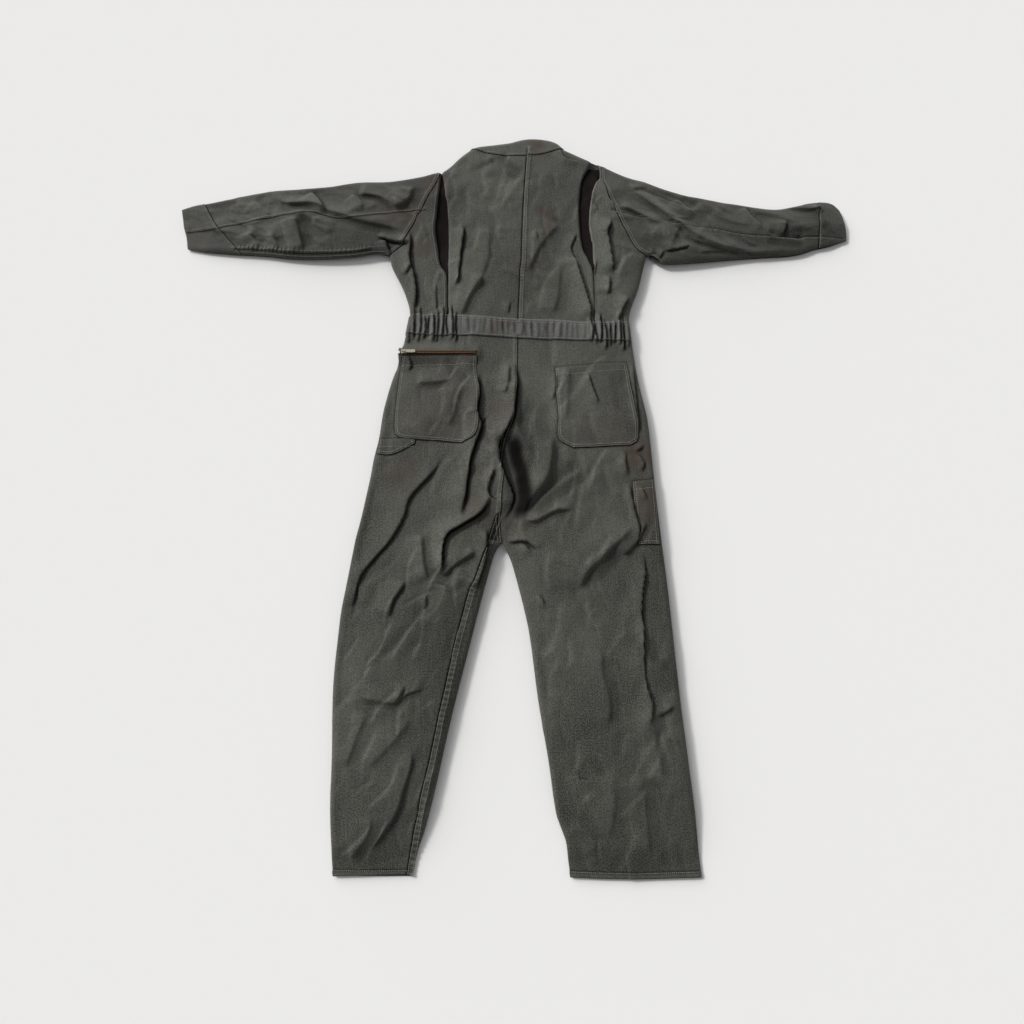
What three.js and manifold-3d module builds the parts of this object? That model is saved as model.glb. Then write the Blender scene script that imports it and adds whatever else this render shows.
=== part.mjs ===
// A boiler suit of cotton twill with an action back, lying flat on its front.
// Millimetres, +Z up, +Y towards the collar, +X towards the wearer's right hand.
// The front is the lower layer and the back is the upper layer, so the back shows from above.
import * as THREE from 'three';
import Module from 'manifold-3d';

const wasm = await Module();
wasm.setup();

// ---- driving dimensions -------------------------------------------------------------------

// cloth and seams
const CLOTH = 1.5; // thickness of one ply, with its seam allowances
const SEAM_GAP = 0.6; // between two panels that are sewn edge to edge
const LAYER_GAP = 0.4; // between two plies that lie on each other
const EDGE_ROLL = 12; // how far the cloth turns down beside a folded edge
const ROW_STEP = 55; // length of cloth between two rows of facets

// how high the layers lie above the floor
const BACK_RISE = 30; // top of the back at the chest and the seat
const HEM_BACK_RISE = 21; // top of the back layer at the hems and the cuffs
const SETTLE_START = -560; // the layers start to sink here, below the rule pocket
const SETTLE_END = -800; // and the front lies on the floor from here to the hem

// bodice, measured from the waist seam at y = 0
const BACK_LENGTH = 443; // waist seam to neck seam, centre back
const NECK_POINT_RISE = 12; // the neck point lies this far above the centre of the neck seam
const FRONT_NECK_DROP = 75;
const NECK_WIDTH = 228;
const SHOULDER_WIDTH = 386; // between the tops of the two armholes
const SHOULDER_DROP = 62;
const CHEST_WIDTH = 606; // flat, between the underarms
const UNDERARM_HEIGHT = 155; // above the waist seam
const SIDE_HOLLOW = 0.3; // the sides draw in between underarm and waist: 0.5 would be straight
const WAIST_WIDTH = 506; // flat, with the elastic relaxed
const COLLAR_SHOWN = 42; // how much of the collar stands past the neck seam
const COLLAR_FOLD = 14; // how much of that turns down over the edge
const COLLAR_ARCH = 0.35; // how much less stands past it at the neck points
const ROLL_SHARE = 0.85; // share of a bodice panel's width at which its side starts to turn down
const PLEAT_WAIST_WIDTH = 340; // between the two action pleats at the waist
const PLEAT_NECK_WIDTH = 350; // and at the shoulder
const PLEAT_DEPTH = 26; // half the width of the cloth folded in behind a pleat edge

// waistband
const BAND_HEIGHT = 45;
const ELASTIC_LEFT = 130; // length of each gathered side
const ELASTIC_RIGHT = 98;
const ELASTIC_HEIGHT = 34;

// seat and legs
const RISE = 480; // waistband to the point where the legs part
const LEG_LENGTH = 649; // from there to the hem
const HIP_WIDTH = 608;
const HIP_HEIGHT = -345;
const FORK_SHIFT = -40; // the legs part this far to the left of the waist centre
const SEAM_LEAN = 0.7; // share of that shift which the seat seam has made at the hips
const HIP_SHIFT = -8; // the hips lie this far to the left of the waist centre
const KNEE = 0.5; // share of the leg length at which the knee width is measured
const LEFT_LEG = { thigh: 306, knee: 250, hem: 154, kneeShift: -56, hemShift: -86 };
const RIGHT_LEG = { thigh: 340, knee: 288, hem: 250, kneeShift: 48, hemShift: 87 };

// sleeves: points are along x outwards from the armhole top, and y above the waist seam
const LEFT_SLEEVE_LENGTH = 618; // armhole top to the end of the cuff, along the upper edge
const RIGHT_SLEEVE_LENGTH = 592;
const CUFF_WIDTH = 114; // flat
const CUFF_SLANT = 12; // the cuff end leans this far over its width
const CUFF_DEPTH = 60; // at the upper edge of the sleeve
const LEFT_SLEEVE_FALL = -91; // the cuff end lies this far below the armhole top
const RIGHT_SLEEVE_FALL = -90;
const SLEEVE_SEAM = 0.52; // share of the sleeve's width below its lengthwise seam

// patch pockets
const POCKET_DEPTH = 6; // how far a pocket stands off the cloth behind it
const POCKET_ROLL = 6; // width of the sewn edge that comes down to that cloth
const REAR_POCKET_WIDTH = 176;
const REAR_POCKET_HEIGHT = 196;
const REAR_POCKET_DROP = 70; // below the waistband
const REAR_POCKET_LEFT_X = -178; // centre of the left rear pocket
const REAR_POCKET_RIGHT_X = 174;
const POCKET_CORNER = 34; // the bottom corners are cut off by this much
const RULE_POCKET_WIDTH = 40;
const RULE_POCKET_HEIGHT = 142;
const RULE_POCKET_TOP = -394;
const RULE_POCKET_INSET = 14; // in from the outer seam of the leg
const LOOP_WIDTH = 24;
const LOOP_LENGTH = 56;
const LOOP_TOP = -310;
const LOOP_INSET = 15;
const LOOP_SLOPE = 0.12; // its outer end is the higher one
const CHEST_POCKET_WIDTH = 140;
const CHEST_POCKET_HEIGHT = 160;
const CHEST_POCKET_TOP = 300;
const CHEST_POCKET_X = 135;
const SIDE_BAG_WIDTH = 150;
const SIDE_BAG_HEIGHT = 250;
const SIDE_BAG_DEPTH = 6;
const SIDE_SLIT_WIDTH = 8; // the way through the front of the leg into the side pocket
const SIDE_SLIT_LENGTH = 150;
const SIDE_SLIT_LEAN = 0.12; // radians
const SIDE_SLIT_INSET = 60; // from the outer edge of the bag to the middle of the slit
const SIDE_SLIT_DROP = 97.5; // from the top of the bag to the middle of the slit

// zips
const TAPE_THICKNESS = 0.8;
const TAPE_WIDTH = 11;
const ROW_GAP = 1.4; // between the two rows of teeth, where the slider's post runs
const ROW_WIDTH = 2.5;
const ROW_HEIGHT = 2.4;
const ZIP_CLEARANCE = 0.3;
const ZIP_OPENING = 10; // between the cloth edges on either side of the teeth
const GUARD_WIDTH = 44; // the strip of cloth behind the front zip
const FRONT_ZIP_BOTTOM = -370;
const FRONT_SLIDER_INSET = 14; // from each end of the teeth
const REAR_ZIP_MARGIN = 4; // the rear teeth end this far inside the pocket's sides
const SLIDER_LENGTH = 12;
const SLIDER_WIDTH = 9;
const SLIDER_PLATE = 1.2;
const BRIDGE_THICKNESS = 1;
const BRIDGE_SPAN = 7;
const PULL_LENGTH = 26;
const PULL_WIDTH = 7;
const PULL_THICKNESS = 1.6;
const STOP_LENGTH = 3;

// ---- values worked out from them ----------------------------------------------------------

const HALF_GAP = SEAM_GAP / 2;
// the front lies as high above the floor as the chest pockets under it stand off
const FRONT_RISE = LAYER_GAP + POCKET_DEPTH + CLOTH;
const FRONT_LEVEL = FRONT_RISE + CLOTH / 2; // middle of the front ply
const BACK_LEVEL = BACK_RISE - CLOTH / 2; // middle of the back ply
const BAND_BOTTOM = -BAND_HEIGHT;
const FORK_Y = BAND_BOTTOM - RISE;
const HEM_Y = FORK_Y - LEG_LENGTH;
const KNEE_Y = FORK_Y - LEG_LENGTH * KNEE;
const NECK_POINT_Y = BACK_LENGTH + NECK_POINT_RISE;
const SHOULDER_Y = NECK_POINT_Y - SHOULDER_DROP;
const ZIP_TOP = BACK_LENGTH - FRONT_NECK_DROP;
const SEAT_TOP_Z = BACK_RISE;
const CHEST_UNDER_Z = FRONT_RISE;

const CLOTH_FINISH = { color: 0x4b4c45, roughness: 0.95, metalness: 0 };
const LINING_FINISH = { color: 0x43443e, roughness: 0.95, metalness: 0 };
const ELASTIC_FINISH = { color: 0xc9c4b8, roughness: 0.9, metalness: 0 };
const TAPE_FINISH = { color: 0x59402f, roughness: 0.9, metalness: 0 };
const BRASS_FINISH = { color: 0xb08d57, roughness: 0.4, metalness: 1 };

const suit = new THREE.Group();

// ---- helpers ------------------------------------------------------------------------------

function addMesh(name, geometry, finish) {
  const mesh = new THREE.Mesh(geometry, new THREE.MeshStandardMaterial(finish));
  mesh.name = name;
  suit.add(mesh);
  return mesh;
}

// A curve x(y) that runs smoothly through a few [y, x] points, listed from high y to low y.
function smoothEdge(points) {
  const slopes = points.map((point, k) => {
    const before = points[Math.max(k - 1, 0)];
    const after = points[Math.min(k + 1, points.length - 1)];
    return (after[1] - before[1]) / (after[0] - before[0]);
  });
  return (y) => {
    let k = 0;
    while (k < points.length - 2 && y < points[k + 1][0]) k += 1;
    const [y0, x0] = points[k];
    const [y1, x1] = points[k + 1];
    const span = y1 - y0;
    const t = THREE.MathUtils.clamp((y - y0) / span, 0, 1);
    const start = (2 * t ** 3 - 3 * t ** 2 + 1) * x0 + (t ** 3 - 2 * t ** 2 + t) * span * slopes[k];
    const end = (3 * t ** 2 - 2 * t ** 3) * x1 + (t ** 3 - t ** 2) * span * slopes[k + 1];
    return start + end;
  };
}

// A broken line through [position, value] points, listed from low to high.
function brokenLine(points) {
  return (at) => {
    let k = 0;
    while (k < points.length - 2 && at > points[k + 1][0]) k += 1;
    const [a0, v0] = points[k];
    const [a1, v1] = points[k + 1];
    return THREE.MathUtils.lerp(v0, v1, THREE.MathUtils.clamp((at - a0) / (a1 - a0), 0, 1));
  };
}

// Stations between two limits, with the ones that must be hit exactly.
function stations(low, high, step, fixed = []) {
  const inside = fixed.filter((value) => value > low && value < high).sort((a, b) => a - b);
  const knots = [low, ...inside, high];
  const list = [low];
  for (let k = 1; k < knots.length; k += 1) {
    const count = Math.max(1, Math.round((knots[k] - knots[k - 1]) / step));
    for (let n = 1; n <= count; n += 1) {
      list.push(THREE.MathUtils.lerp(knots[k - 1], knots[k], n / count));
    }
  }
  return list;
}

// One ply of cloth: a box with a grid of facets, whose middle is laid on place(column, row).
function addPly(name, finish, columns, rows, place, thickness = CLOTH) {
  const geometry = new THREE.BoxGeometry(1, 1, 1, columns, rows, 1);
  const position = geometry.attributes.position;
  for (let k = 0; k < position.count; k += 1) {
    const column = Math.round((position.getX(k) + 0.5) * columns);
    const row = Math.round((position.getY(k) + 0.5) * rows);
    const side = Math.sign(position.getZ(k));
    const point = place(column, row);
    position.setXYZ(k, point.x, point.y, point.z + (side * thickness) / 2);
  }
  geometry.computeVertexNormals();
  return addMesh(name, geometry, finish);
}

// Distances across a panel: the rolled edges keep their width and the rest is shared out.
function columnOffsets(width, middle, rollLeft, rollRight) {
  const from = rollLeft ? EDGE_ROLL : 0;
  const to = rollRight ? width - EDGE_ROLL : width;
  const list = rollLeft ? [0] : [];
  for (let n = 0; n <= middle; n += 1) list.push(THREE.MathUtils.lerp(from, to, n / middle));
  if (rollRight) list.push(width);
  return list;
}

function boxBetween(x0, x1, y0, y1, z0, z1) {
  const geometry = new THREE.BoxGeometry(x1 - x0, y1 - y0, z1 - z0);
  geometry.translate((x0 + x1) / 2, (y0 + y1) / 2, (z0 + z1) / 2);
  return geometry;
}

// Solids for cutting and joining, and the way back to a mesh.
function toSolid(geometry) {
  const index = geometry.index ? geometry.index.array : null;
  const position = geometry.attributes.position;
  const keys = new Map();
  const vertices = [];
  const triangles = [];
  const corners = index ? index.length : position.count;
  for (let k = 0; k < corners; k += 1) {
    const vertex = index ? index[k] : k;
    const point = [position.getX(vertex), position.getY(vertex), position.getZ(vertex)];
    const key = point.map((value) => value.toFixed(4)).join(',');
    if (!keys.has(key)) {
      keys.set(key, keys.size);
      vertices.push(...point);
    }
    triangles.push(keys.get(key));
  }
  const vertProperties = new Float32Array(vertices);
  const triVerts = new Uint32Array(triangles);
  return new wasm.Manifold(new wasm.Mesh({ numProp: 3, vertProperties, triVerts }));
}

function toGeometry(solid) {
  const mesh = solid.getMesh();
  const geometry = new THREE.BufferGeometry();
  geometry.setAttribute('position', new THREE.BufferAttribute(mesh.vertProperties, 3));
  geometry.setIndex(new THREE.BufferAttribute(mesh.triVerts, 1));
  geometry.computeVertexNormals();
  return geometry;
}

// ---- levels and outlines ------------------------------------------------------------------

const frontLevel = brokenLine([[SETTLE_END, CLOTH / 2], [SETTLE_START, FRONT_LEVEL]]);
const backLevel = brokenLine([
  [HEM_Y, HEM_BACK_RISE - CLOTH / 2],
  [SETTLE_START, BACK_LEVEL],
]);
const PLY_OFFSET = CLOTH / 2 + HALF_GAP;
const backEdge = (y) => (frontLevel(y) + backLevel(y)) / 2 + PLY_OFFSET;
const frontEdge = (y) => (frontLevel(y) + backLevel(y)) / 2 - PLY_OFFSET;

const seatSeam = smoothEdge([[BAND_BOTTOM, 0], [HIP_HEIGHT, FORK_SHIFT * SEAM_LEAN], [FORK_Y, FORK_SHIFT]]);

// Outer and inner outline of one leg, with the seat above it. side is -1 left, 1 right.
function legEdges(side, leg) {
  const thighCentre = FORK_SHIFT + (side * leg.thigh) / 2;
  const knee = thighCentre + leg.kneeShift;
  const hem = thighCentre + leg.hemShift;
  const outer = smoothEdge([
    [BAND_BOTTOM, (side * WAIST_WIDTH) / 2],
    [HIP_HEIGHT, (side * HIP_WIDTH) / 2 + HIP_SHIFT],
    [FORK_Y, thighCentre + (side * leg.thigh) / 2],
    [KNEE_Y, knee + (side * leg.knee) / 2],
    [HEM_Y, hem + (side * leg.hem) / 2],
  ]);
  const innerLeg = smoothEdge([
    [FORK_Y, thighCentre - (side * leg.thigh) / 2],
    [KNEE_Y, knee - (side * leg.knee) / 2],
    [HEM_Y, hem - (side * leg.hem) / 2],
  ]);
  return { outer, innerLeg };
}

const LEG_EDGES = { left: legEdges(-1, LEFT_LEG), right: legEdges(1, RIGHT_LEG) };
const LEG_ROWS = stations(HEM_Y, BAND_BOTTOM, ROW_STEP, [
  SETTLE_END, SETTLE_START, FORK_Y, FORK_Y - EDGE_ROLL, FRONT_ZIP_BOTTOM, FRONT_ZIP_BOTTOM - EDGE_ROLL,
]);

// The side seam runs up to the underarm, and the armhole from there to the shoulder.
function bodiceOuter(side) {
  const seam = smoothEdge([
    [UNDERARM_HEIGHT, (side * CHEST_WIDTH) / 2],
    [UNDERARM_HEIGHT / 2, (side * THREE.MathUtils.lerp(WAIST_WIDTH, CHEST_WIDTH, SIDE_HOLLOW)) / 2],
    [0, (side * WAIST_WIDTH) / 2],
  ]);
  const armhole = brokenLine([
    [UNDERARM_HEIGHT, (side * CHEST_WIDTH) / 2],
    [SHOULDER_Y, (side * SHOULDER_WIDTH) / 2],
  ]);
  return (y) => (y <= UNDERARM_HEIGHT ? seam(y) : armhole(y));
}

const pleatEdge = brokenLine([[0, PLEAT_WAIST_WIDTH / 2], [SHOULDER_Y, PLEAT_NECK_WIDTH / 2]]);

// ---- seat and legs ------------------------------------------------------------------------

function addLeg(sign, name) {
  const edges = LEG_EDGES[name];
  const frontCentre = (y) => {
    if (y >= FRONT_ZIP_BOTTOM) return (sign * ZIP_OPENING) / 2 - sign * HALF_GAP;
    const start = FRONT_ZIP_BOTTOM - EDGE_ROLL;
    return FORK_SHIFT * THREE.MathUtils.clamp((start - y) / (start - FORK_Y), 0, 1);
  };
  const layers = [
    { layer: 'back', centre: seatSeam, level: backLevel, edge: backEdge },
    { layer: 'front', centre: frontCentre, level: frontLevel, edge: frontEdge },
  ];
  for (const { layer, centre, level, edge } of layers) {
    const middle = 3;
    const place = (column, row) => {
      const y = LEG_ROWS[row] + (row === 0 ? HALF_GAP : 0) - (row === LEG_ROWS.length - 1 ? HALF_GAP : 0);
      const apart = y < FORK_Y - 0.01;
      const inner = apart ? edges.innerLeg(y) : centre(y);
      const outer = edges.outer(y);
      const width = Math.abs(outer - inner) - HALF_GAP;
      const offsets = columnOffsets(width, middle, true, true);
      const start = inner + sign * HALF_GAP;
      const fromInner = sign > 0 ? column : offsets.length - 1 - column;
      const x = start + sign * offsets[fromInner];
      const onOuter = fromInner === offsets.length - 1;
      const onInner = fromInner === 0 && LEG_ROWS[row] <= FORK_Y - EDGE_ROLL + 0.01;
      return new THREE.Vector3(x, y, onOuter || onInner ? edge(y) : level(y));
    };
    addPly(`leg_${layer}_${name}`, CLOTH_FINISH, middle + 2, LEG_ROWS.length - 1, place);
  }
}

addLeg(-1, 'left');
addLeg(1, 'right');

// ---- bodice -------------------------------------------------------------------------------

const NECK_X = NECK_WIDTH / 2;
const SHOULDER_X = SHOULDER_WIDTH / 2;
// height of the shoulder and neck line over a point across the back or the front
const backNeck = brokenLine([[0, BACK_LENGTH], [NECK_X, NECK_POINT_Y], [SHOULDER_X, SHOULDER_Y]]);
const frontNeck = brokenLine([[0, ZIP_TOP], [NECK_X, NECK_POINT_Y], [SHOULDER_X, SHOULDER_Y]]);

function addBodicePanel(name, side, inner, outer, neckLine, level, edge, offsetsAcross, outerIsSide) {
  const rows = stations(0, SHOULDER_Y, ROW_STEP, [
    UNDERARM_HEIGHT, UNDERARM_HEIGHT + EDGE_ROLL, SHOULDER_Y - EDGE_ROLL,
  ]);
  const count = offsetsAcross.length - 1;
  const place = (column, row) => {
    const fromInner = side > 0 ? column : count - column;
    const share = offsetsAcross[fromInner];
    const topInner = Math.abs(inner(SHOULDER_Y));
    const topOuter = Math.abs(outer(SHOULDER_Y));
    const topY = neckLine(THREE.MathUtils.lerp(topInner, topOuter, share));
    const isTop = row === rows.length - 1;
    let y = rows[row] <= SHOULDER_Y - EDGE_ROLL
      ? (rows[row] / (SHOULDER_Y - EDGE_ROLL)) * (topY - EDGE_ROLL)
      : topY;
    y += (row === 0 ? HALF_GAP : 0) - (isTop ? HALF_GAP : 0);
    const a = Math.abs(inner(y)) + HALF_GAP;
    const b = Math.abs(outer(Math.min(y, SHOULDER_Y))) - HALF_GAP;
    const rolled = outerIsSide && fromInner === count - 1;
    const x = side * (rolled ? b - EDGE_ROLL : THREE.MathUtils.lerp(a, b, share));
    const onSide = outerIsSide && fromInner === count && rows[row] <= UNDERARM_HEIGHT + 0.01;
    const onShoulder = isTop && Math.abs(x) >= NECK_X - 1;
    return new THREE.Vector3(x, y, onSide || onShoulder ? edge(0) : level(0));
  };
  addPly(name, CLOTH_FINISH, count, rows.length - 1, place);
}

for (const [side, name] of [[-1, 'left'], [1, 'right']]) {
  const pleatTop = PLEAT_NECK_WIDTH / 2;
  const neckShare = NECK_X / pleatTop;
  addBodicePanel(`back_panel_${name}`, side, () => 0, pleatEdge, backNeck, backLevel, backEdge,
    [0, neckShare / 2, neckShare, 1], false);
  addBodicePanel(`side_back_${name}`, side, pleatEdge, bodiceOuter(1), backNeck, backLevel, backEdge,
    [0, 0.5, ROLL_SHARE, 1], true);
  const frontShare = (NECK_X - ZIP_OPENING / 2) / (SHOULDER_X - ZIP_OPENING / 2);
  addBodicePanel(`front_panel_${name}`, side, () => ZIP_OPENING / 2 - HALF_GAP, bodiceOuter(1),
    frontNeck, frontLevel, frontEdge, [0, frontShare / 2, frontShare, ROLL_SHARE, 1], true);
}

// The cloth folded in behind each pleat edge.
const PLEAT_LEVEL = BACK_LEVEL - CLOTH - LAYER_GAP;
const PLEAT_TOP = SHOULDER_Y - EDGE_ROLL * 3;
for (const [side, name] of [[-1, 'left'], [1, 'right']]) {
  const rows = stations(EDGE_ROLL, PLEAT_TOP, ROW_STEP * 2);
  addPly(`action_pleat_${name}`, CLOTH_FINISH, 2, rows.length - 1, (column, row) => {
    const shrink = THREE.MathUtils.lerp(1, 0.5, rows[row] / PLEAT_TOP);
    const x = side * pleatEdge(rows[row]) + (column - 1) * PLEAT_DEPTH * shrink;
    return new THREE.Vector3(x, rows[row], PLEAT_LEVEL);
  });
}

// The collar stands past the neck seam and turns down over the edge: an outer and an inner leaf.
const COLLAR_LEAVES = [['outer', 0, CLOTH_FINISH], ['inner', CLOTH + LAYER_GAP, LINING_FINISH]];
for (const [name, drop, finish] of COLLAR_LEAVES) {
  const along = stations(-NECK_X, NECK_X, NECK_X / 3);
  const rise = [0, COLLAR_SHOWN - COLLAR_FOLD, COLLAR_SHOWN];
  addPly(`collar_${name}`, finish, along.length - 1, 2, (column, row) => {
    const x = along[column];
    const arch = 1 - (x / NECK_X) ** 2 * COLLAR_ARCH;
    const y = backNeck(Math.abs(x)) + HALF_GAP + rise[row] * arch - (row === 2 ? drop : 0);
    return new THREE.Vector3(x, y, BACK_LEVEL - drop - (row === 2 ? COLLAR_FOLD / 2 : 0));
  });
}

// ---- waistband ----------------------------------------------------------------------------

const BAND_X = WAIST_WIDTH / 2;
const BAND_ROWS = [BAND_BOTTOM + HALF_GAP, -HALF_GAP];

function addBand(name, finish, x0, x1, level, edge, rollLeft, rollRight, middle) {
  const offsets = columnOffsets(x1 - x0, middle, rollLeft, rollRight);
  addPly(name, finish, offsets.length - 1, 1, (column, row) => {
    const folded = (rollLeft && column === 0) || (rollRight && column === offsets.length - 1);
    return new THREE.Vector3(x0 + offsets[column], BAND_ROWS[row], folded ? edge(0) : level(0));
  });
}

const ELASTIC_LEFT_X = -BAND_X + ELASTIC_LEFT;
const ELASTIC_RIGHT_X = BAND_X - ELASTIC_RIGHT;
addBand('waistband_back', CLOTH_FINISH, ELASTIC_LEFT_X + HALF_GAP, ELASTIC_RIGHT_X - HALF_GAP,
  backLevel, backEdge, false, false, 2);
addBand('elastic_casing_left', CLOTH_FINISH, -BAND_X, ELASTIC_LEFT_X - HALF_GAP,
  backLevel, backEdge, true, false, 2);
addBand('elastic_casing_right', CLOTH_FINISH, ELASTIC_RIGHT_X + HALF_GAP, BAND_X,
  backLevel, backEdge, false, true, 2);
addBand('waistband_front_left', CLOTH_FINISH, -BAND_X, -ZIP_OPENING / 2,
  frontLevel, frontEdge, true, false, 2);
addBand('waistband_front_right', CLOTH_FINISH, ZIP_OPENING / 2, BAND_X,
  frontLevel, frontEdge, false, true, 2);

// An elastic strip lies behind each casing.
const ELASTIC_TOP_Z = BACK_RISE - CLOTH - LAYER_GAP;
const ELASTIC_MARGIN = (BAND_HEIGHT - ELASTIC_HEIGHT) / 2;
for (const [name, x0, x1] of [
  ['left', -BAND_X + EDGE_ROLL + CLOTH, ELASTIC_LEFT_X - CLOTH],
  ['right', ELASTIC_RIGHT_X + CLOTH, BAND_X - EDGE_ROLL - CLOTH],
]) {
  addMesh(`elastic_strip_${name}`, boxBetween(x0, x1, BAND_BOTTOM + ELASTIC_MARGIN, -ELASTIC_MARGIN,
    ELASTIC_TOP_Z - CLOTH, ELASTIC_TOP_Z), ELASTIC_FINISH);
}

// ---- sleeves ------------------------------------------------------------------------------

const SLEEVE_STEPS = 8;

// The sleeve's surface: along 0 at the armhole to 1 at the cuff end, across 0 below to 1 above.
function sleeveSurface(side, length, fall) {
  const shoulder = new THREE.Vector2(side * SHOULDER_X, SHOULDER_Y);
  const underarm = new THREE.Vector2((side * CHEST_WIDTH) / 2, UNDERARM_HEIGHT);
  const cuffTop = shoulder.clone().add(new THREE.Vector2(side * length, fall));
  const cuffBottom = cuffTop.clone().add(new THREE.Vector2(-side * CUFF_SLANT, -CUFF_WIDTH));
  return (along, across) => {
    const top = shoulder.clone().lerp(cuffTop, along);
    const bottom = underarm.clone().lerp(cuffBottom, along);
    return bottom.lerp(top, across);
  };
}

const sleeveFront = (along) => THREE.MathUtils.lerp(FRONT_LEVEL, CLOTH / 2, along);
const sleeveBack = (along) => THREE.MathUtils.lerp(BACK_LEVEL, HEM_BACK_RISE - CLOTH / 2, along);

function addSleevePly(name, finish, side, surface, limits, isBack) {
  const { from, to, low, high, steps, middle } = limits;
  const level = isBack ? sleeveBack : sleeveFront;
  const offset = isBack ? PLY_OFFSET : -PLY_OFFSET;
  const rollLow = low === 0;
  const rollHigh = high === 1;
  const rowCount = middle + (rollLow ? 1 : 0) + (rollHigh ? 1 : 0);
  addPly(name, finish, steps, rowCount, (column, row) => {
    const step = side > 0 ? column : steps - column;
    const spot = THREE.MathUtils.lerp(from, to, step / steps);
    const full = surface(spot, 0).distanceTo(surface(spot, 1));
    const low01 = low + (rollLow ? 0 : HALF_GAP / full);
    const high01 = high - (rollHigh ? 0 : HALF_GAP / full);
    const offsets = columnOffsets((high01 - low01) * full, middle, rollLow, rollHigh);
    const across = low01 + offsets[row] / full;
    const point = surface(spot, across);
    const endGap = step === 0 ? HALF_GAP : 0;
    const startGap = step === steps ? -HALF_GAP : 0;
    const folded = (rollLow && row === 0) || (rollHigh && row === rowCount);
    const z = folded ? (sleeveFront(spot) + sleeveBack(spot)) / 2 + offset : level(spot);
    return new THREE.Vector3(point.x + side * (endGap + startGap), point.y, z);
  });
}

for (const [side, name, length, fall] of [
  [-1, 'left', LEFT_SLEEVE_LENGTH, LEFT_SLEEVE_FALL],
  [1, 'right', RIGHT_SLEEVE_LENGTH, RIGHT_SLEEVE_FALL],
]) {
  const surface = sleeveSurface(side, length, fall);
  const join = 1 - CUFF_DEPTH / length;
  const sleeve = { from: 0, to: join, steps: SLEEVE_STEPS };
  addSleevePly(`top_sleeve_${name}`, CLOTH_FINISH, side, surface,
    { ...sleeve, low: SLEEVE_SEAM, high: 1, middle: 1 }, true);
  addSleevePly(`under_sleeve_${name}`, CLOTH_FINISH, side, surface,
    { ...sleeve, low: 0, high: SLEEVE_SEAM, middle: 1 }, true);
  addSleevePly(`front_sleeve_${name}`, CLOTH_FINISH, side, surface,
    { ...sleeve, low: 0, high: 1, middle: 2 }, false);
  const cuff = { from: join, to: 1, steps: 1, low: 0, high: 1, middle: 1 };
  addSleevePly(`cuff_back_${name}`, CLOTH_FINISH, side, surface, cuff, true);
  addSleevePly(`cuff_front_${name}`, CLOTH_FINISH, side, surface, cuff, false);
}

// ---- patch pockets ------------------------------------------------------------------------

// A pocket sewn down along its sides and bottom, standing off the cloth by its depth.
// up is 1 where it lies on top of the back and -1 where it hangs under the front.
function addPatch(name, x0, x1, y0, y1, clothZ, up, corner) {
  const across = [x0, x0 + POCKET_ROLL, x0 + corner, x1 - corner, x1 - POCKET_ROLL, x1];
  const upwards = [0, POCKET_ROLL, (y1 - y0) / 2, y1 - y0];
  const sewn = clothZ + up * (LAYER_GAP + CLOTH / 2);
  const outerLift = corner * 0.8;
  const rollLift = corner * 0.7;
  const bottomOf = [outerLift, rollLift, 0, 0, rollLift, outerLift];
  addPly(name, CLOTH_FINISH, 5, 3, (column, row) => {
    const lift = bottomOf[column];
    const y = row < 2 ? y0 + lift + upwards[row] : y0 + upwards[row];
    const down = column === 0 || column === 5 || row === 0;
    return new THREE.Vector3(across[column], y, down ? sewn : sewn + up * POCKET_DEPTH);
  });
}

const REAR_TOP = BAND_BOTTOM - REAR_POCKET_DROP;
const REAR_BOTTOM = REAR_TOP - REAR_POCKET_HEIGHT;
for (const [name, centre] of [['left', REAR_POCKET_LEFT_X], ['right', REAR_POCKET_RIGHT_X]]) {
  addPatch(`rear_pocket_${name}`, centre - REAR_POCKET_WIDTH / 2, centre + REAR_POCKET_WIDTH / 2,
    REAR_BOTTOM, REAR_TOP, SEAT_TOP_Z, 1, POCKET_CORNER);
}

const RULE_OUTER = LEG_EDGES.right.outer(RULE_POCKET_TOP) - RULE_POCKET_INSET;
addPatch('rule_pocket', RULE_OUTER - RULE_POCKET_WIDTH, RULE_OUTER,
  RULE_POCKET_TOP - RULE_POCKET_HEIGHT, RULE_POCKET_TOP, SEAT_TOP_Z, 1, POCKET_ROLL * 2);

for (const [side, name] of [[-1, 'left'], [1, 'right']]) {
  const centre = side * CHEST_POCKET_X;
  addPatch(`chest_pocket_${name}`, centre - CHEST_POCKET_WIDTH / 2, centre + CHEST_POCKET_WIDTH / 2,
    CHEST_POCKET_TOP - CHEST_POCKET_HEIGHT, CHEST_POCKET_TOP, CHEST_UNDER_Z, -1, POCKET_CORNER);
}

// The tool loop is a strap sewn down at both ends.
const LOOP_X0 = LEG_EDGES.left.outer(LOOP_TOP) + LOOP_INSET;
const sewnEnd = [0, POCKET_ROLL, POCKET_ROLL * 2];
const loopX = [...sewnEnd, ...sewnEnd.map((x) => LOOP_LENGTH - x).reverse()];
const loopRise = [0, 0, 1, 1, 0, 0];
addPly('tool_loop', CLOTH_FINISH, 5, 1, (column, row) => new THREE.Vector3(
  LOOP_X0 + loopX[column],
  LOOP_TOP - LOOP_WIDTH * (1 - row) - loopX[column] * LOOP_SLOPE,
  SEAT_TOP_Z + LAYER_GAP + CLOTH / 2 + loopRise[column] * POCKET_DEPTH,
));

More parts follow.
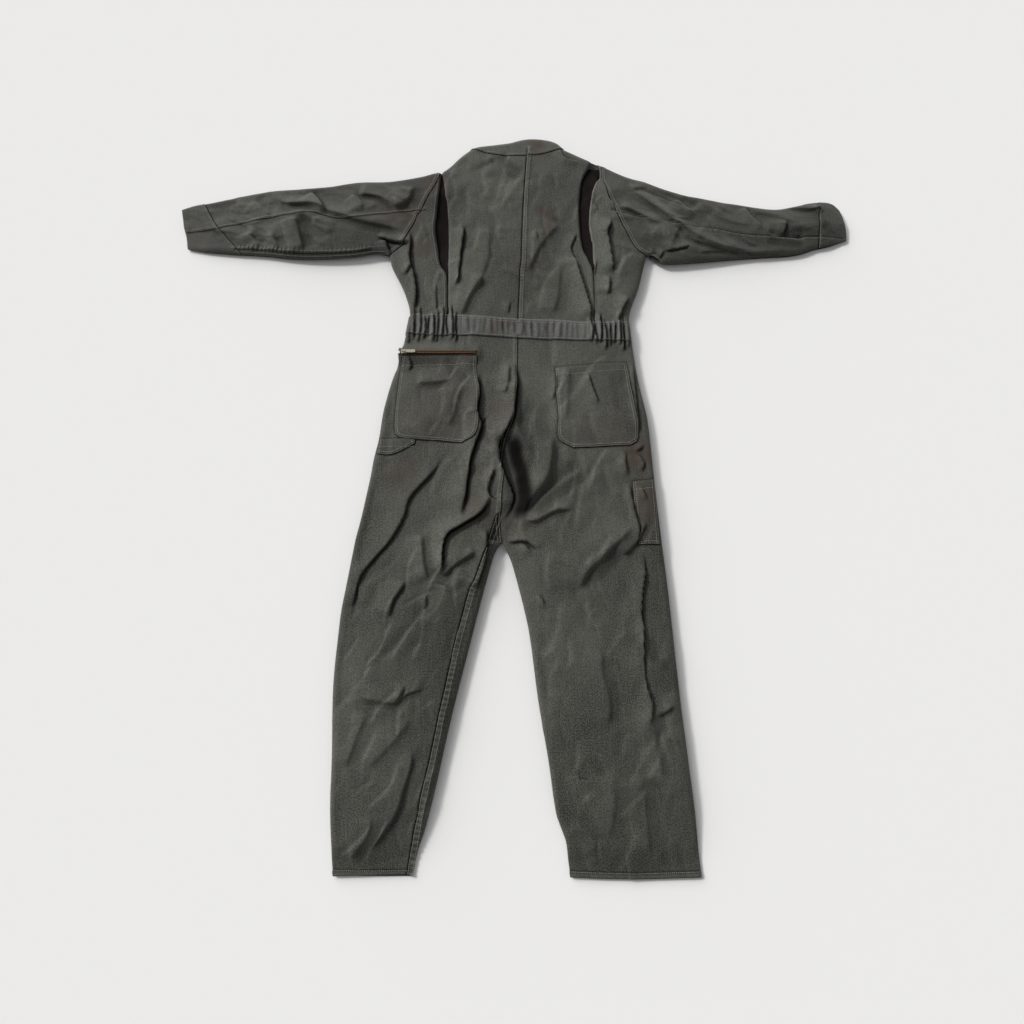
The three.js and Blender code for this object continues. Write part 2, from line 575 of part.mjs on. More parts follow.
// Side pockets: a slit through the front of the leg, and a bag inside it.
for (const [side, name] of [[-1, 'left'], [1, 'right']]) {
  const bagTop = BAND_BOTTOM - EDGE_ROLL;
  const legSide = (y) => Math.abs(LEG_EDGES[name].outer(y));
  const narrowest = Math.min(legSide(bagTop), legSide(bagTop - SIDE_BAG_HEIGHT));
  const nearX = side * (narrowest - EDGE_ROLL - CLOTH * 2);
  const bagX = [nearX, nearX - side * SIDE_BAG_WIDTH].sort((a, b) => a - b);
  const front = suit.getObjectByName(`leg_front_${name}`);
  const slit = boxBetween(-SIDE_SLIT_WIDTH / 2, SIDE_SLIT_WIDTH / 2,
    -SIDE_SLIT_LENGTH / 2, SIDE_SLIT_LENGTH / 2, 0, FRONT_RISE + CLOTH * 2);
  slit.rotateZ(side * SIDE_SLIT_LEAN);
  slit.translate(nearX - side * SIDE_SLIT_INSET, bagTop - SIDE_SLIT_DROP, 0);
  front.geometry = toGeometry(toSolid(front.geometry).subtract(toSolid(slit)));
  const across = [bagX[0], bagX[0] + POCKET_ROLL, bagX[1] - POCKET_ROLL, bagX[1]];
  const bagLow = bagTop - SIDE_BAG_HEIGHT;
  const upwards = [bagLow, bagLow + POCKET_ROLL, bagTop - POCKET_ROLL, bagTop];
  const sewn = FRONT_LEVEL + CLOTH + LAYER_GAP;
  addPly(`side_pocket_bag_${name}`, LINING_FINISH, 3, 3, (column, row) => {
    const down = column === 0 || column === 3 || row === 0 || row === 3;
    return new THREE.Vector3(across[column], upwards[row], down ? sewn : sewn + SIDE_BAG_DEPTH);
  });
}

// ---- zips ---------------------------------------------------------------------------------

const BRIDGE_GAP = PULL_THICKNESS * 1.75; // room under the bridge for the bar to turn
const ROW_INNER = ROW_GAP / 2;
const ROW_OUTER = ROW_INNER + ROW_WIDTH;
const TAPE_INNER = ROW_OUTER + ZIP_CLEARANCE;

// A slider on a zip that runs along y, with the zip's middle at the origin and its face up:
// two plates, the post between the teeth, and the bridge that holds the pull.
function sliderGeometry() {
  const plateIn = ROW_HEIGHT / 2 + ZIP_CLEARANCE;
  const plateOut = plateIn + SLIDER_PLATE;
  const half = SLIDER_LENGTH / 2;
  const wide = SLIDER_WIDTH / 2;
  const post = ROW_INNER - ZIP_CLEARANCE;
  const holeHigh = plateOut + BRIDGE_GAP;
  const end = BRIDGE_SPAN / 2;
  const leg = BRIDGE_THICKNESS;
  const overlap = 0.2;
  return toGeometry([
    boxBetween(-wide, wide, -half, half, plateIn, plateOut),
    boxBetween(-wide, wide, -half, half, -plateOut, -plateIn),
    boxBetween(-post, post, 0, half, -plateIn - overlap, plateIn + overlap),
    boxBetween(-leg, leg, -end, -end + leg, plateOut - overlap, holeHigh + leg),
    boxBetween(-leg, leg, end - leg, end, plateOut - overlap, holeHigh + leg),
    boxBetween(-leg, leg, -end, end, holeHigh, holeHigh + leg),
  ].map(toSolid).reduce((whole, piece) => whole.add(piece)));
}

// The pull, with its pivot bar at the origin, lying along -y.
const PIVOT_Z = ROW_HEIGHT / 2 + ZIP_CLEARANCE + SLIDER_PLATE + BRIDGE_GAP / 2;

function pullGeometry() {
  const bar = PULL_THICKNESS / 2;
  const wide = PULL_WIDTH / 2;
  const eye = BRIDGE_SPAN / 2 + BRIDGE_THICKNESS;
  const outline = new THREE.Shape();
  outline.moveTo(-wide, bar);
  outline.lineTo(-wide, -PULL_LENGTH + wide);
  outline.absarc(0, -PULL_LENGTH + wide, wide, Math.PI, 2 * Math.PI, false);
  outline.lineTo(wide, bar);
  outline.closePath();
  const eyeHalf = BRIDGE_THICKNESS + ZIP_CLEARANCE * 2;
  const hole = new THREE.Path();
  hole.moveTo(-eyeHalf, -bar);
  hole.lineTo(-eyeHalf, -eye);
  hole.lineTo(eyeHalf, -eye);
  hole.lineTo(eyeHalf, -bar);
  hole.closePath();
  outline.holes.push(hole);
  const geometry = new THREE.ExtrudeGeometry(outline, {
    depth: PULL_THICKNESS, bevelEnabled: false, curveSegments: 8,
  });
  geometry.translate(0, 0, -PULL_THICKNESS / 2);
  return geometry;
}

function addFromY(name, geometry, finish, frame) {
  const placed = geometry.clone();
  placed.applyMatrix4(frame);
  return addMesh(name, placed, finish);
}

// A frame for a zip: its own y runs along the zip and its own z is the way its face looks.
function zipFrame(x, y, z, alongX, faceDown) {
  const turn = new THREE.Matrix4();
  if (alongX) turn.makeRotationZ(-Math.PI / 2);
  if (faceDown) turn.makeRotationY(Math.PI);
  return new THREE.Matrix4().makeTranslation(x, y, z).multiply(turn);
}

// front zip: behind the edges of the front, its face to the floor
const FRONT_TAPE_Z = FRONT_RISE + CLOTH + LAYER_GAP + TAPE_THICKNESS / 2;
const FRONT_TEETH_LOW = FRONT_ZIP_BOTTOM + STOP_LENGTH;
const FRONT_TEETH_HIGH = ZIP_TOP - STOP_LENGTH - EDGE_ROLL;
for (const [side, name] of [[-1, 'left'], [1, 'right']]) {
  const teethX = [side * ROW_INNER, side * ROW_OUTER].sort((a, b) => a - b);
  const tapeX = [side * TAPE_INNER, side * (TAPE_INNER + TAPE_WIDTH)].sort((a, b) => a - b);
  addMesh(`front_zip_teeth_${name}`, boxBetween(...teethX, FRONT_TEETH_LOW, FRONT_TEETH_HIGH,
    FRONT_TAPE_Z - ROW_HEIGHT / 2, FRONT_TAPE_Z + ROW_HEIGHT / 2), BRASS_FINISH);
  addMesh(`front_zip_tape_${name}`, boxBetween(...tapeX, FRONT_ZIP_BOTTOM, FRONT_TEETH_HIGH + STOP_LENGTH,
    FRONT_TAPE_Z - TAPE_THICKNESS / 2, FRONT_TAPE_Z + TAPE_THICKNESS / 2), TAPE_FINISH);
}

// The stops close the ends of the rows of teeth.
const stopHalf = ROW_OUTER;
const bottomStop = boxBetween(-stopHalf, stopHalf, FRONT_ZIP_BOTTOM, FRONT_TEETH_LOW - ZIP_CLEARANCE,
  FRONT_TAPE_Z - ROW_HEIGHT / 2, FRONT_TAPE_Z + ROW_HEIGHT / 2);
addMesh('front_zip_bottom_stop', bottomStop, BRASS_FINISH);

// Each front pull leans down until its tip is on the floor.
const FRONT_PIVOT_Z = FRONT_TAPE_Z - PIVOT_Z;
const PULL_DROP = FRONT_PIVOT_Z - PULL_THICKNESS / 2 - ZIP_CLEARANCE;
const PULL_LEAN = Math.asin(PULL_DROP / PULL_LENGTH);
for (const [name, y, lean] of [
  ['top', FRONT_TEETH_HIGH - FRONT_SLIDER_INSET, 0],
  ['bottom', FRONT_TEETH_LOW + FRONT_SLIDER_INSET, Math.PI],
]) {
  const frame = zipFrame(0, y, FRONT_TAPE_Z, false, true);
  const turned = frame.clone().multiply(new THREE.Matrix4().makeRotationZ(lean));
  addFromY(`front_${name}_slider`, sliderGeometry(), BRASS_FINISH, turned);
  const leaning = new THREE.Matrix4().makeTranslation(0, 0, PIVOT_Z)
    .multiply(new THREE.Matrix4().makeRotationX(-PULL_LEAN));
  addFromY(`front_${name}_pull`, pullGeometry(), BRASS_FINISH, turned.clone().multiply(leaning));
}

// A facing of cloth guards the body from the front zip.
const SLIDER_BACK = ROW_HEIGHT / 2 + ZIP_CLEARANCE + SLIDER_PLATE;
const GUARD_Z = FRONT_TAPE_Z + SLIDER_BACK + LAYER_GAP + CLOTH / 2;
const guardX = [-GUARD_WIDTH / 2, -ZIP_OPENING, ZIP_OPENING, GUARD_WIDTH / 2];
const guardZ = [FRONT_RISE + CLOTH * 1.5 + LAYER_GAP, GUARD_Z, GUARD_Z, GUARD_Z];
addPly('zip_guard', LINING_FINISH, 3, 1, (column, row) => new THREE.Vector3(
  guardX[column],
  row ? ZIP_TOP - EDGE_ROLL : FRONT_ZIP_BOTTOM - EDGE_ROLL,
  guardZ[column],
));

// rear zip: along the mouth of the left rear pocket, its face up
const REAR_ZIP_Z = SEAT_TOP_Z + LAYER_GAP + POCKET_DEPTH + CLOTH / 2;
const REAR_ZIP_Y = REAR_TOP + HALF_GAP + TAPE_WIDTH + TAPE_INNER;
const REAR_X0 = REAR_POCKET_LEFT_X - REAR_POCKET_WIDTH / 2 + REAR_ZIP_MARGIN;
const REAR_X1 = REAR_POCKET_LEFT_X + REAR_POCKET_WIDTH / 2 - REAR_ZIP_MARGIN;
const rowZ = [REAR_ZIP_Z - ROW_HEIGHT / 2, REAR_ZIP_Z + ROW_HEIGHT / 2];
addMesh('rear_zip_teeth_lower', boxBetween(REAR_X0, REAR_X1,
  REAR_ZIP_Y - ROW_OUTER, REAR_ZIP_Y - ROW_INNER, ...rowZ), BRASS_FINISH);
addMesh('rear_zip_teeth_upper', boxBetween(REAR_X0, REAR_X1,
  REAR_ZIP_Y + ROW_INNER, REAR_ZIP_Y + ROW_OUTER, ...rowZ), BRASS_FINISH);
addMesh('rear_zip_tape_lower', boxBetween(REAR_X0 - REAR_ZIP_MARGIN, REAR_X1 + REAR_ZIP_MARGIN,
  REAR_TOP + HALF_GAP, REAR_ZIP_Y - TAPE_INNER,
  REAR_ZIP_Z - TAPE_THICKNESS / 2, REAR_ZIP_Z + TAPE_THICKNESS / 2), TAPE_FINISH);

// The upper tape turns down to the seat, where it is sewn.
const upperTape = new THREE.Shape([
  [TAPE_INNER, -TAPE_THICKNESS / 2],
  [TAPE_INNER + TAPE_WIDTH - TAPE_THICKNESS, -TAPE_THICKNESS / 2],
  [TAPE_INNER + TAPE_WIDTH - TAPE_THICKNESS, SEAT_TOP_Z + LAYER_GAP - REAR_ZIP_Z],
  [TAPE_INNER + TAPE_WIDTH, SEAT_TOP_Z + LAYER_GAP - REAR_ZIP_Z],
  [TAPE_INNER + TAPE_WIDTH, TAPE_THICKNESS / 2],
  [TAPE_INNER, TAPE_THICKNESS / 2],
].map(([y, z]) => new THREE.Vector2(y, z)));
const upperTapeGeometry = new THREE.ExtrudeGeometry(upperTape, {
  depth: REAR_POCKET_WIDTH, bevelEnabled: false,
});
upperTapeGeometry.applyMatrix4(new THREE.Matrix4().makeBasis(
  new THREE.Vector3(0, 1, 0), new THREE.Vector3(0, 0, 1), new THREE.Vector3(1, 0, 0),
));
upperTapeGeometry.translate(REAR_X0 - REAR_ZIP_MARGIN, REAR_ZIP_Y, REAR_ZIP_Z);
addMesh('rear_zip_tape_upper', upperTapeGeometry, TAPE_FINISH);

const rearSliderX = REAR_X0 + SLIDER_LENGTH / 2 + STOP_LENGTH;
const rearFrame = zipFrame(rearSliderX, REAR_ZIP_Y, REAR_ZIP_Z, true, false)
  .multiply(new THREE.Matrix4().makeRotationZ(Math.PI));
addFromY('rear_zip_slider', sliderGeometry(), BRASS_FINISH, rearFrame);
addFromY('rear_zip_pull', pullGeometry(), BRASS_FINISH,
  rearFrame.clone().multiply(new THREE.Matrix4().makeTranslation(0, 0, PIVOT_Z)));

// ---- the whole suit, centred over the floor -----------------------------------------------

const bounds = new THREE.Box3().setFromObject(suit);
suit.position.set(
  -(bounds.min.x + bounds.max.x) / 2,
  -(bounds.min.y + bounds.max.y) / 2,
  -bounds.min.z,
);
suit.updateMatrixWorld(true);

export default suit;
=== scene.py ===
# %% [markdown]
# # A work coverall, laid face down
#
# The object is an olive-grey cotton twill coverall with an action back. It lies on its front,
# arms out, on a pale floor. A garment could be simulated from its flat panels, but the folds it
# settles in would not be these ones. Here each cut panel is a cloth sheet of its own, and all the
# panels share one map from the flat pattern to the lying cloth, so that neighbours meet at their
# seams and one fold runs across several panels.

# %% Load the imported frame
import math
import bpy
import numpy as np
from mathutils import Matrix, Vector


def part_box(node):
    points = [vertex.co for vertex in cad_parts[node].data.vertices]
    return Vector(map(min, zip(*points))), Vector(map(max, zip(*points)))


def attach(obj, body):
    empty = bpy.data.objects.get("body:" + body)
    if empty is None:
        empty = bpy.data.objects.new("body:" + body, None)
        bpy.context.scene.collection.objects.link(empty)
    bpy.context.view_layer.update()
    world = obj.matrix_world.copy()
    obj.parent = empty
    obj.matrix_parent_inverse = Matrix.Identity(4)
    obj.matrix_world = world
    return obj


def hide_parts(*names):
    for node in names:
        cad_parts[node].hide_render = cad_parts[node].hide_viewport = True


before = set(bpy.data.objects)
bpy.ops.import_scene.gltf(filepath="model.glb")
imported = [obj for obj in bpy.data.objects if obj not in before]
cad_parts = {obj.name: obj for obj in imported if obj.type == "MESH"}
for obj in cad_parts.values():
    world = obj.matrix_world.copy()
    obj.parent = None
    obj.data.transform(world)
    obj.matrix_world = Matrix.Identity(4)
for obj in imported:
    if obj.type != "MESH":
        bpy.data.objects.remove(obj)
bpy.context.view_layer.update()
MM = 0.001  # the tables below are in millimetres and Blender works in metres
BODY = "suit"


def node_box(name):
    """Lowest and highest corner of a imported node, in millimetres."""
    lo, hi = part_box(name)
    return [c / MM for c in lo], [c / MM for c in hi]


# %% [markdown]
# ## The outline
#
# The lying suit is nearly flat, so its pattern is drawn in plan, x to the wearer's right and y
# towards the collar. Every edge is a smooth curve through a few places. Neighbouring panels use
# the same curve, so there is no gap between them. Curves could be Bezier objects, but plain lists
# can be measured from with array maths, which the folds need.

# %% Curves of the pattern
CURVE_STEP = 7.0


def curve(points, step=CURVE_STEP):
    """A smooth line through the points, as an array of places about a step apart."""
    p = np.array(points, float)
    ends = np.vstack([2 * p[0] - p[1], p, 2 * p[-1] - p[-2]])
    out = []
    for a, b, c, d in zip(ends[:-3], ends[1:-2], ends[2:-1], ends[3:]):
        count = max(1, int(np.hypot(*(c - b)) / step))
        t = np.linspace(0, 1, count, endpoint=False)[:, None]
        turn = 0.5 * ((c - a) * t + (2 * a - 5 * b + 4 * c - d) * t**2)
        out.append(b + turn + 0.5 * (3 * b - a - 3 * c + d) * t**3)
    return np.vstack(out + [p[-1:]])


def along(line, shares):
    """Places on a line at the given shares of its length."""
    run = np.concatenate([[0], np.cumsum(np.hypot(*np.diff(line, axis=0).T))])
    at = np.asarray(shares) * run[-1]
    return np.stack([np.interp(at, run, line[:, 0]), np.interp(at, run, line[:, 1])], 1)


def part_of(line, axis, low, high):
    """The stretch of a line that lies between two values of x (axis 0) or y (axis 1)."""
    order = line if line[0, axis] < line[-1, axis] else line[::-1]
    inner = order[(order[:, axis] > low) & (order[:, axis] < high)]
    other = 1 - axis
    ends = []
    for v in (low, high):
        e = [0.0, 0.0]
        e[axis] = v
        e[other] = float(np.interp(v, order[:, axis], order[:, other]))
        ends.append(e)
    return np.vstack([ends[:1], inner, ends[1:]])


SIDE_LEFT = curve([(-339, -827), (-345, -780), (-351, -710), (-353, -618), (-358, -504), (-358, -446),
                   (-355, -386), (-351, -325), (-345, -283), (-339, -241), (-330, -178), (-321, -134),
                   (-306, -46), (-300, 0), (-291, 46), (-283, 116), (-266, 188), (-250, 237), (-243, 286),
                   (-235, 325), (-235, 362), (-252, 413), (-278, 466), (-286, 499)])
SIDE_RIGHT = curve([(359, -829), (356, -780), (353, -710), (345, -618), (336, -504), (329, -386),
                    (323, -283), (315, -178), (309, -90), (304, 0), (298, 92), (285, 164), (275, 237),
                    (269, 311), (267, 337), (273, 362), (292, 413), (306, 466), (314, 497)])
INNER_LEFT = curve([(-190, -827), (-179, -780), (-167, -745), (-149, -673), (-125, -561), (-112, -504),
                    (-83, -386), (-68, -325), (-52, -263), (-36, -207), (-22, -186)])
INNER_RIGHT = curve([(111, -829), (107, -798), (103, -766), (91, -733), (84, -710), (71, -618), (52, -504),
                     (37, -386), (25, -325), (6, -251), (-6, -214), (-22, -186)])
SEAT_SEAM = curve([(-22, -186), (-26, -126), (-24, -28), (-14, 40), (4, 100), (11, 181), (13, 289)])
INSEAM_LEFT = curve([(-200, -823), (-194, -785), (-168, -653), (-142, -523), (-114, -387), (-87, -285),
                     (-63, -209), (-49, -177), (-33, -126)])
HEM_LEFT = np.array([(-339, -827), (-190, -827)], float)
HEM_RIGHT = curve([(111, -829), (229, -832), (359, -829)])
WAIST_TOP = curve([(-236, 345), (-179, 341), (-120, 338), (12, 331), (98, 326), (173, 319), (269, 325)])
WAIST_BOTTOM = curve([(-243, 298), (-177, 289), (-108, 288), (12, 282), (97, 278), (178, 273), (272, 277)])
ARMHOLE_LEFT = curve([(-286, 499), (-262, 517), (-246, 545), (-226, 590), (-198, 656), (-182, 690),
                      (-171, 725)])
ARMHOLE_RIGHT = curve([(314, 497), (290, 514), (267, 558), (244, 614), (226, 665), (215, 700), (218, 744)])
SHOULDER_LEFT = curve([(-171, 725), (-151, 741), (-127, 768), (-100, 792)])
SHOULDER_RIGHT = curve([(126, 792), (168, 769), (218, 744)])
COLLAR_TOP = curve([(-100, 792), (-79, 799), (-42, 804), (-5, 810), (32, 821), (69, 821), (105, 811),
                    (126, 792)])
NECK_SEAM = curve([(-100, 792), (-49, 775), (10, 767), (69, 772), (126, 792)])
SLEEVE_LEFT_TOP = curve([(-791, 630), (-759, 641), (-724, 647), (-654, 664), (-582, 678), (-511, 683),
                         (-439, 688), (-368, 699), (-295, 701), (-223, 714), (-187, 725), (-171, 725)])
SLEEVE_LEFT_LOW = curve([(-765, 523), (-724, 515), (-654, 508), (-582, 503), (-511, 494), (-439, 492),
                         (-368, 496), (-318, 504), (-286, 499)])
SLEEVE_RIGHT_TOP = curve([(218, 744), (249, 727), (285, 710), (321, 699), (357, 683), (393, 670),
                          (427, 661), (499, 646), (535, 641), (605, 630), (641, 630), (678, 638),
                          (715, 647), (750, 650), (770, 645), (784, 629)])
SLEEVE_RIGHT_LOW = curve([(314, 497), (331, 499), (343, 482), (364, 477), (427, 482), (463, 486),
                          (535, 494), (605, 500), (641, 502), (678, 508), (715, 521), (750, 530),
                          (792, 546)])
CUFF_END_LEFT = curve([(-765, 523), (-771, 554), (-780, 583), (-791, 630)])
CUFF_END_RIGHT = curve([(792, 546), (791, 578), (784, 629)])
CUFF_JOIN_LEFT = curve([(-637, 507), (-681, 559), (-702, 586), (-736, 645)])
CUFF_JOIN_RIGHT = curve([(722, 524), (724, 553), (733, 648)])
SLEEVE_SEAM_LEFT = curve([(-768, 566), (-699, 570), (-637, 585), (-542, 604), (-471, 609), (-398, 594),
                          (-315, 600), (-272, 607), (-205, 616)])
SLEEVE_SEAM_RIGHT = curve([(234, 612), (295, 598), (346, 589), (402, 578), (526, 555), (638, 549),
                           (720, 550), (783, 550)])
PLEAT_EDGE_LEFT = curve([(-145, 340), (-147, 436), (-149, 558), (-153, 628), (-164, 699), (-169, 724)])
PLEAT_FLAP_LEFT = curve([(-147, 339), (-150, 436), (-166, 471), (-173, 512), (-181, 567), (-178, 614),
                         (-172, 690), (-170, 724)])
PLEAT_EDGE_RIGHT = curve([(186, 319), (184, 440), (177, 485), (165, 512), (160, 558), (159, 628),
                          (167, 694), (182, 732), (192, 752)])
PLEAT_FLAP_RIGHT = curve([(187, 319), (188, 503), (184, 535), (181, 581), (190, 651), (199, 689),
                          (210, 704), (211, 733), (205, 749)])
FOLDED_EDGES = [SIDE_LEFT, SIDE_RIGHT, INNER_LEFT, INNER_RIGHT, SHOULDER_LEFT, SHOULDER_RIGHT, COLLAR_TOP,
                SLEEVE_LEFT_TOP, SLEEVE_LEFT_LOW, SLEEVE_RIGHT_TOP, SLEEVE_RIGHT_LOW]
OPEN_EDGES = [HEM_LEFT, HEM_RIGHT, CUFF_END_LEFT, CUFF_END_RIGHT]
print("pattern curves:", len(FOLDED_EDGES), "folded edges and", len(OPEN_EDGES), "open ones")

# %% [markdown]
# ## Folds
#
# A fold in cloth on a floor rises slowly on one side and drops steeply on the other, where it
# often hangs over its own foot and hides a dark slit. Sculpting strokes would do it by hand. The
# same thing is said here in numbers: each fold is a line along its slit, with a height, the width
# of its slow side, how far its crest stands from the slit, how far the crest leans over, and how
# dark the shade painted into its slit is. The steep side is to the left of the line's direction.

# %% The folds that can be seen on the suit
# places along the slit, height, slow side, crest distance, lean, depth of painted shade
BACK_FOLDS = [
    ([(-110, 576), (-116, 539), (-121, 485), (-125, 409)], 9, 16, 7, 7, 0.8),  # left second fold
    ([(-235, 558), (-239, 485), (-227, 440), (-221, 396), (-222, 343)], 10, 18, 7, 7, 0.8),  # left underarm
    ([(-238, 471), (-251, 436)], 6, 12, 5, 5, 0.7),  # left underarm, small
    ([(-175, 422), (-170, 348)], 3, 10, 4, 3, 0.5),  # left of pleat, low
    ([(141, 503), (151, 453), (166, 396), (176, 352), (183, 322)], 10, 24, 7, 8, 0.9),  # right of pleat
    ([(239, 586), (220, 553), (225, 517), (231, 471), (236, 444)], 11, 20, 8, 9, 0.9),  # right side, upper
    ([(226, 440), (220, 387)], 6, 16, 6, 5, 0.6),  # right side, lower
    ([(199, 728), (218, 685), (229, 642), (248, 614)], 6, 14, 5, 5, 0.7),  # right shoulder
    ([(270, 387), (251, 356), (246, 326)], 7, 16, 6, 5, 0.6),  # right side by band
    ([(196, 632), (207, 607)], 4, 10, 4, 3, 0.5),  # right shoulder, small
    ([(195, 735), (213, 723)], 5, 8, 4, 3, 0.8),  # right pleat head
    ([(53, 558), (62, 528)], 3, 12, 4, 3, 0.4),  # mid back crease
    ([(154, 553), (137, 512), (147, 492)], 4, 14, 5, 3, 0.5),  # right back crease
    ([(-37, 772), (-12, 730), (27, 709)], -5, 34, 16, 0, 0.35),  # neck hollow
    ([(-59, 440), (-90, 383), (-110, 330)], 4, 26, 10, 2, 0.25),  # left back diagonal
    ([(-3, 378), (-8, 339)], 3, 12, 5, 2, 0.4),  # centre back crease
    ([(122, 576), (77, 512), (44, 440)], 4, 40, 16, 2, 0.15),  # right back diagonal
    ([(115, 792), (129, 762), (162, 752)], 4, 12, 6, 2, 0.5),  # neck right crease
    ([(-44, 576), (-47, 485), (-74, 396)], 3, 30, 12, 1, 0.1),  # left back long
    ([(120, 485), (115, 396), (98, 330)], 3, 30, 12, 1, 0.15),  # right back long
    ([(196, 485), (188, 422), (190, 343)], 4, 10, 5, 3, 0.4),  # right panel low
]
SEAT_FOLDS = [
    # pocket side
    ([(-69, 212), (-73, 151), (-77, 104), (-69, 72), (-84, 18),
      (-94, -35), (-100, -88), (-109, -146)], 10, 24, 9, 8, 1),
    ([(-56, 100), (-72, 63)], 5, 8, 5, 4, 0.8),  # pocket side, upper branch
    # long diagonal
    ([(-150, 7), (-158, -18), (-183, -49), (-217, -90),
      (-230, -135), (-257, -184), (-284, -216), (-309, -251),
      (-322, -293), (-326, -350)], 6, 30, 5, 4, 0.78),
    # crotch
    ([(10, 231), (8, 165), (1, 104), (-12, 68), (-28, 36), (-28, -4),
      (-14, -49), (0, -84), (-9, -131), (-22, -152)], 12, 26, 11, 10, 1),
    ([(-6, 217), (-13, 174), (-20, 141)], 4, 16, 6, 3, 0.5),  # fly of seat
    ([(-41, -27), (-50, -57), (-50, -88), (-29, -97)], 7, 14, 5, 5, 0.9),  # inner thigh hook
    # thigh overlap
    ([(-41, -88), (-70, -124), (-109, -150),
      (-137, -169), (-146, -205), (-145, -262)], 11, 22, 8, 8, 1),
    ([(-69, -133), (-73, -154)], 4, 8, 4, 3, 0.7),  # thigh overlap, small
    ([(99, 54), (92, -18), (80, -57), (51, -94), (22, -142)], 8, 16, 14, 3, 0.1),  # right thigh ridge
    ([(161, -27), (123, -53), (76, -88), (42, -131)], -7, 18, 16, 0, 0.4),  # right thigh valley
    ([(127, -124), (100, -120), (75, -131), (50, -146), (25, -144)], 5, 10, 9, 3, 0.2),  # right thigh curl
    ([(54, -207), (33, -186), (-12, -186)], 5, 14, 7, 4, 0.6),  # under crotch curl
    ([(167, 196), (179, 155), (192, 120)], 4, 14, 4, 3, 0.6),  # right pocket crease
    ([(97, 198), (99, 165), (89, 127)], 3, 9, 4, 2, 0.45),  # right pocket left edge
    ([(66, 132), (56, 72), (67, 27), (57, -53)], -5, 24, 18, 0, 0.3),  # right pocket valley
    ([(22, 118), (18, 72), (43, 27)], 4, 18, 10, 2, 0.2),  # right seat valley
    ([(137, 212), (133, 141), (125, 72)], 3, 24, 14, 1, 0.05),  # right pocket hem ridge
    ([(-126, 174), (-170, 167), (-213, 165)], 4, 24, 9, 1, 0.25),  # left pocket hollow
    ([(-100, 165), (-116, 109), (-128, 63)], 3, 26, 12, 1, 0.12),  # left pocket slant
    ([(-233, 241), (-223, 217), (-227, 198)], 5, 10, 4, 3, 0.7),  # left pocket top crease
    ([(290, 31), (266, 11)], 4, 8, 4, 3, 0.6),  # hip crumple a
    ([(269, 11), (285, -9), (279, -35)], 4, 8, 4, 3, 0.55),  # hip crumple b
    ([(243, 18), (250, -44)], 4, 10, 4, 3, 0.5),  # hip crumple c
    ([(252, -53), (256, -97), (265, -144), (260, -196)], 5, 14, 5, 4, 0.9),  # rule pocket side
    ([(274, -62), (289, -97)], 4, 10, 4, 3, 0.5),  # rule pocket crease
    ([(264, -49), (276, -55)], 3, 6, 3, 2, 0.6),  # rule pocket lower
    ([(271, 226), (273, 165), (276, 91), (281, 54)], 6, 12, 4, 3, 0.8),  # right hip side
]
LEG_FOLDS = [
    ([(-52, -154), (-55, -213), (-65, -256), (-77, -290)], 9, 18, 6, 6, 0.9),  # inseam fold
    ([(-70, -208), (-112, -235), (-143, -264)], 5, 20, 9, 3, 0.3),  # inner knee diagonal
    ([(-217, -269), (-241, -308), (-249, -345)], 6, 22, 6, 4, 0.6),  # left mid short
    ([(-164, -273), (-137, -277), (-122, -288)], 3, 10, 4, 2, 0.4),  # left mid hook
    ([(-184, -165), (-178, -229), (-166, -269)], 5, 22, 9, 2, 0.3),  # left mid valley
    ([(-171, -293), (-174, -330)], 4, 12, 6, 2, 0.4),  # left mid valley two
    ([(-163, -485), (-203, -495), (-233, -514), (-303, -503)], 3, 20, 7, 2, 0.28),  # left knee
    ([(-209, -473), (-228, -512)], 3, 12, 5, 2, 0.3),  # left knee branch
    # left shin seam side
    ([(-190, -590), (-192, -628), (-206, -674),
      (-219, -715), (-269, -793)], 3.5, 30, 8, 3, 0.3),
    ([(-186, -543), (-224, -590), (-272, -642)], 3, 40, 16, 2, 0.1),  # left shin diagonal
    ([(-277, -533), (-299, -590), (-316, -637)], 3, 40, 14, 2, 0.1),  # left shin soft
    # right diagonal
    ([(266, -154), (227, -192), (186, -235),
      (159, -261), (150, -295)], 6, 40, 17, 4, 0.38),
    ([(288, -143), (259, -192), (231, -219)], 4, 20, 8, 3, 0.35),  # right diagonal, upper
    # right long
    ([(270, -197), (276, -240), (267, -293), (263, -334), (267, -365),
      (264, -416), (264, -465), (273, -500), (276, -525), (267, -567)], 7, 20, 5, 5, 0.95),
    ([(285, -514), (294, -590), (305, -665)], 4, 22, 16, 1, 0.05),  # right ridge
    ([(193, -406), (187, -445), (200, -504), (198, -562)], 3, 34, 12, 2, 0.15),  # right inner
    ([(325, -514), (304, -529), (286, -541)], 4, 12, 6, 2, 0.3),  # right hem side
    ([(54, -290), (72, -324)], 4, 12, 5, 2, 0.5),  # right small a
    ([(17, -181), (45, -211)], 5, 14, 6, 3, 0.6),  # right small b
    ([(124, -637), (131, -651), (155, -653)], 3, 10, 4, 2, 0.5),  # right hook
    ([(205, -637), (207, -710), (191, -773)], 3, 44, 18, 2, 0.1),  # right shin
    ([(259, -637), (265, -719), (271, -790)], 3, 34, 14, 2, 0.15),  # right shin two
    ([(120, -719), (148, -742), (176, -773)], 3, 34, 14, 2, 0.1),  # right inner ankle
    ([(-260, -719), (-271, -760), (-302, -804)], 3, 30, 12, 2, 0.2),  # left hem folds
]
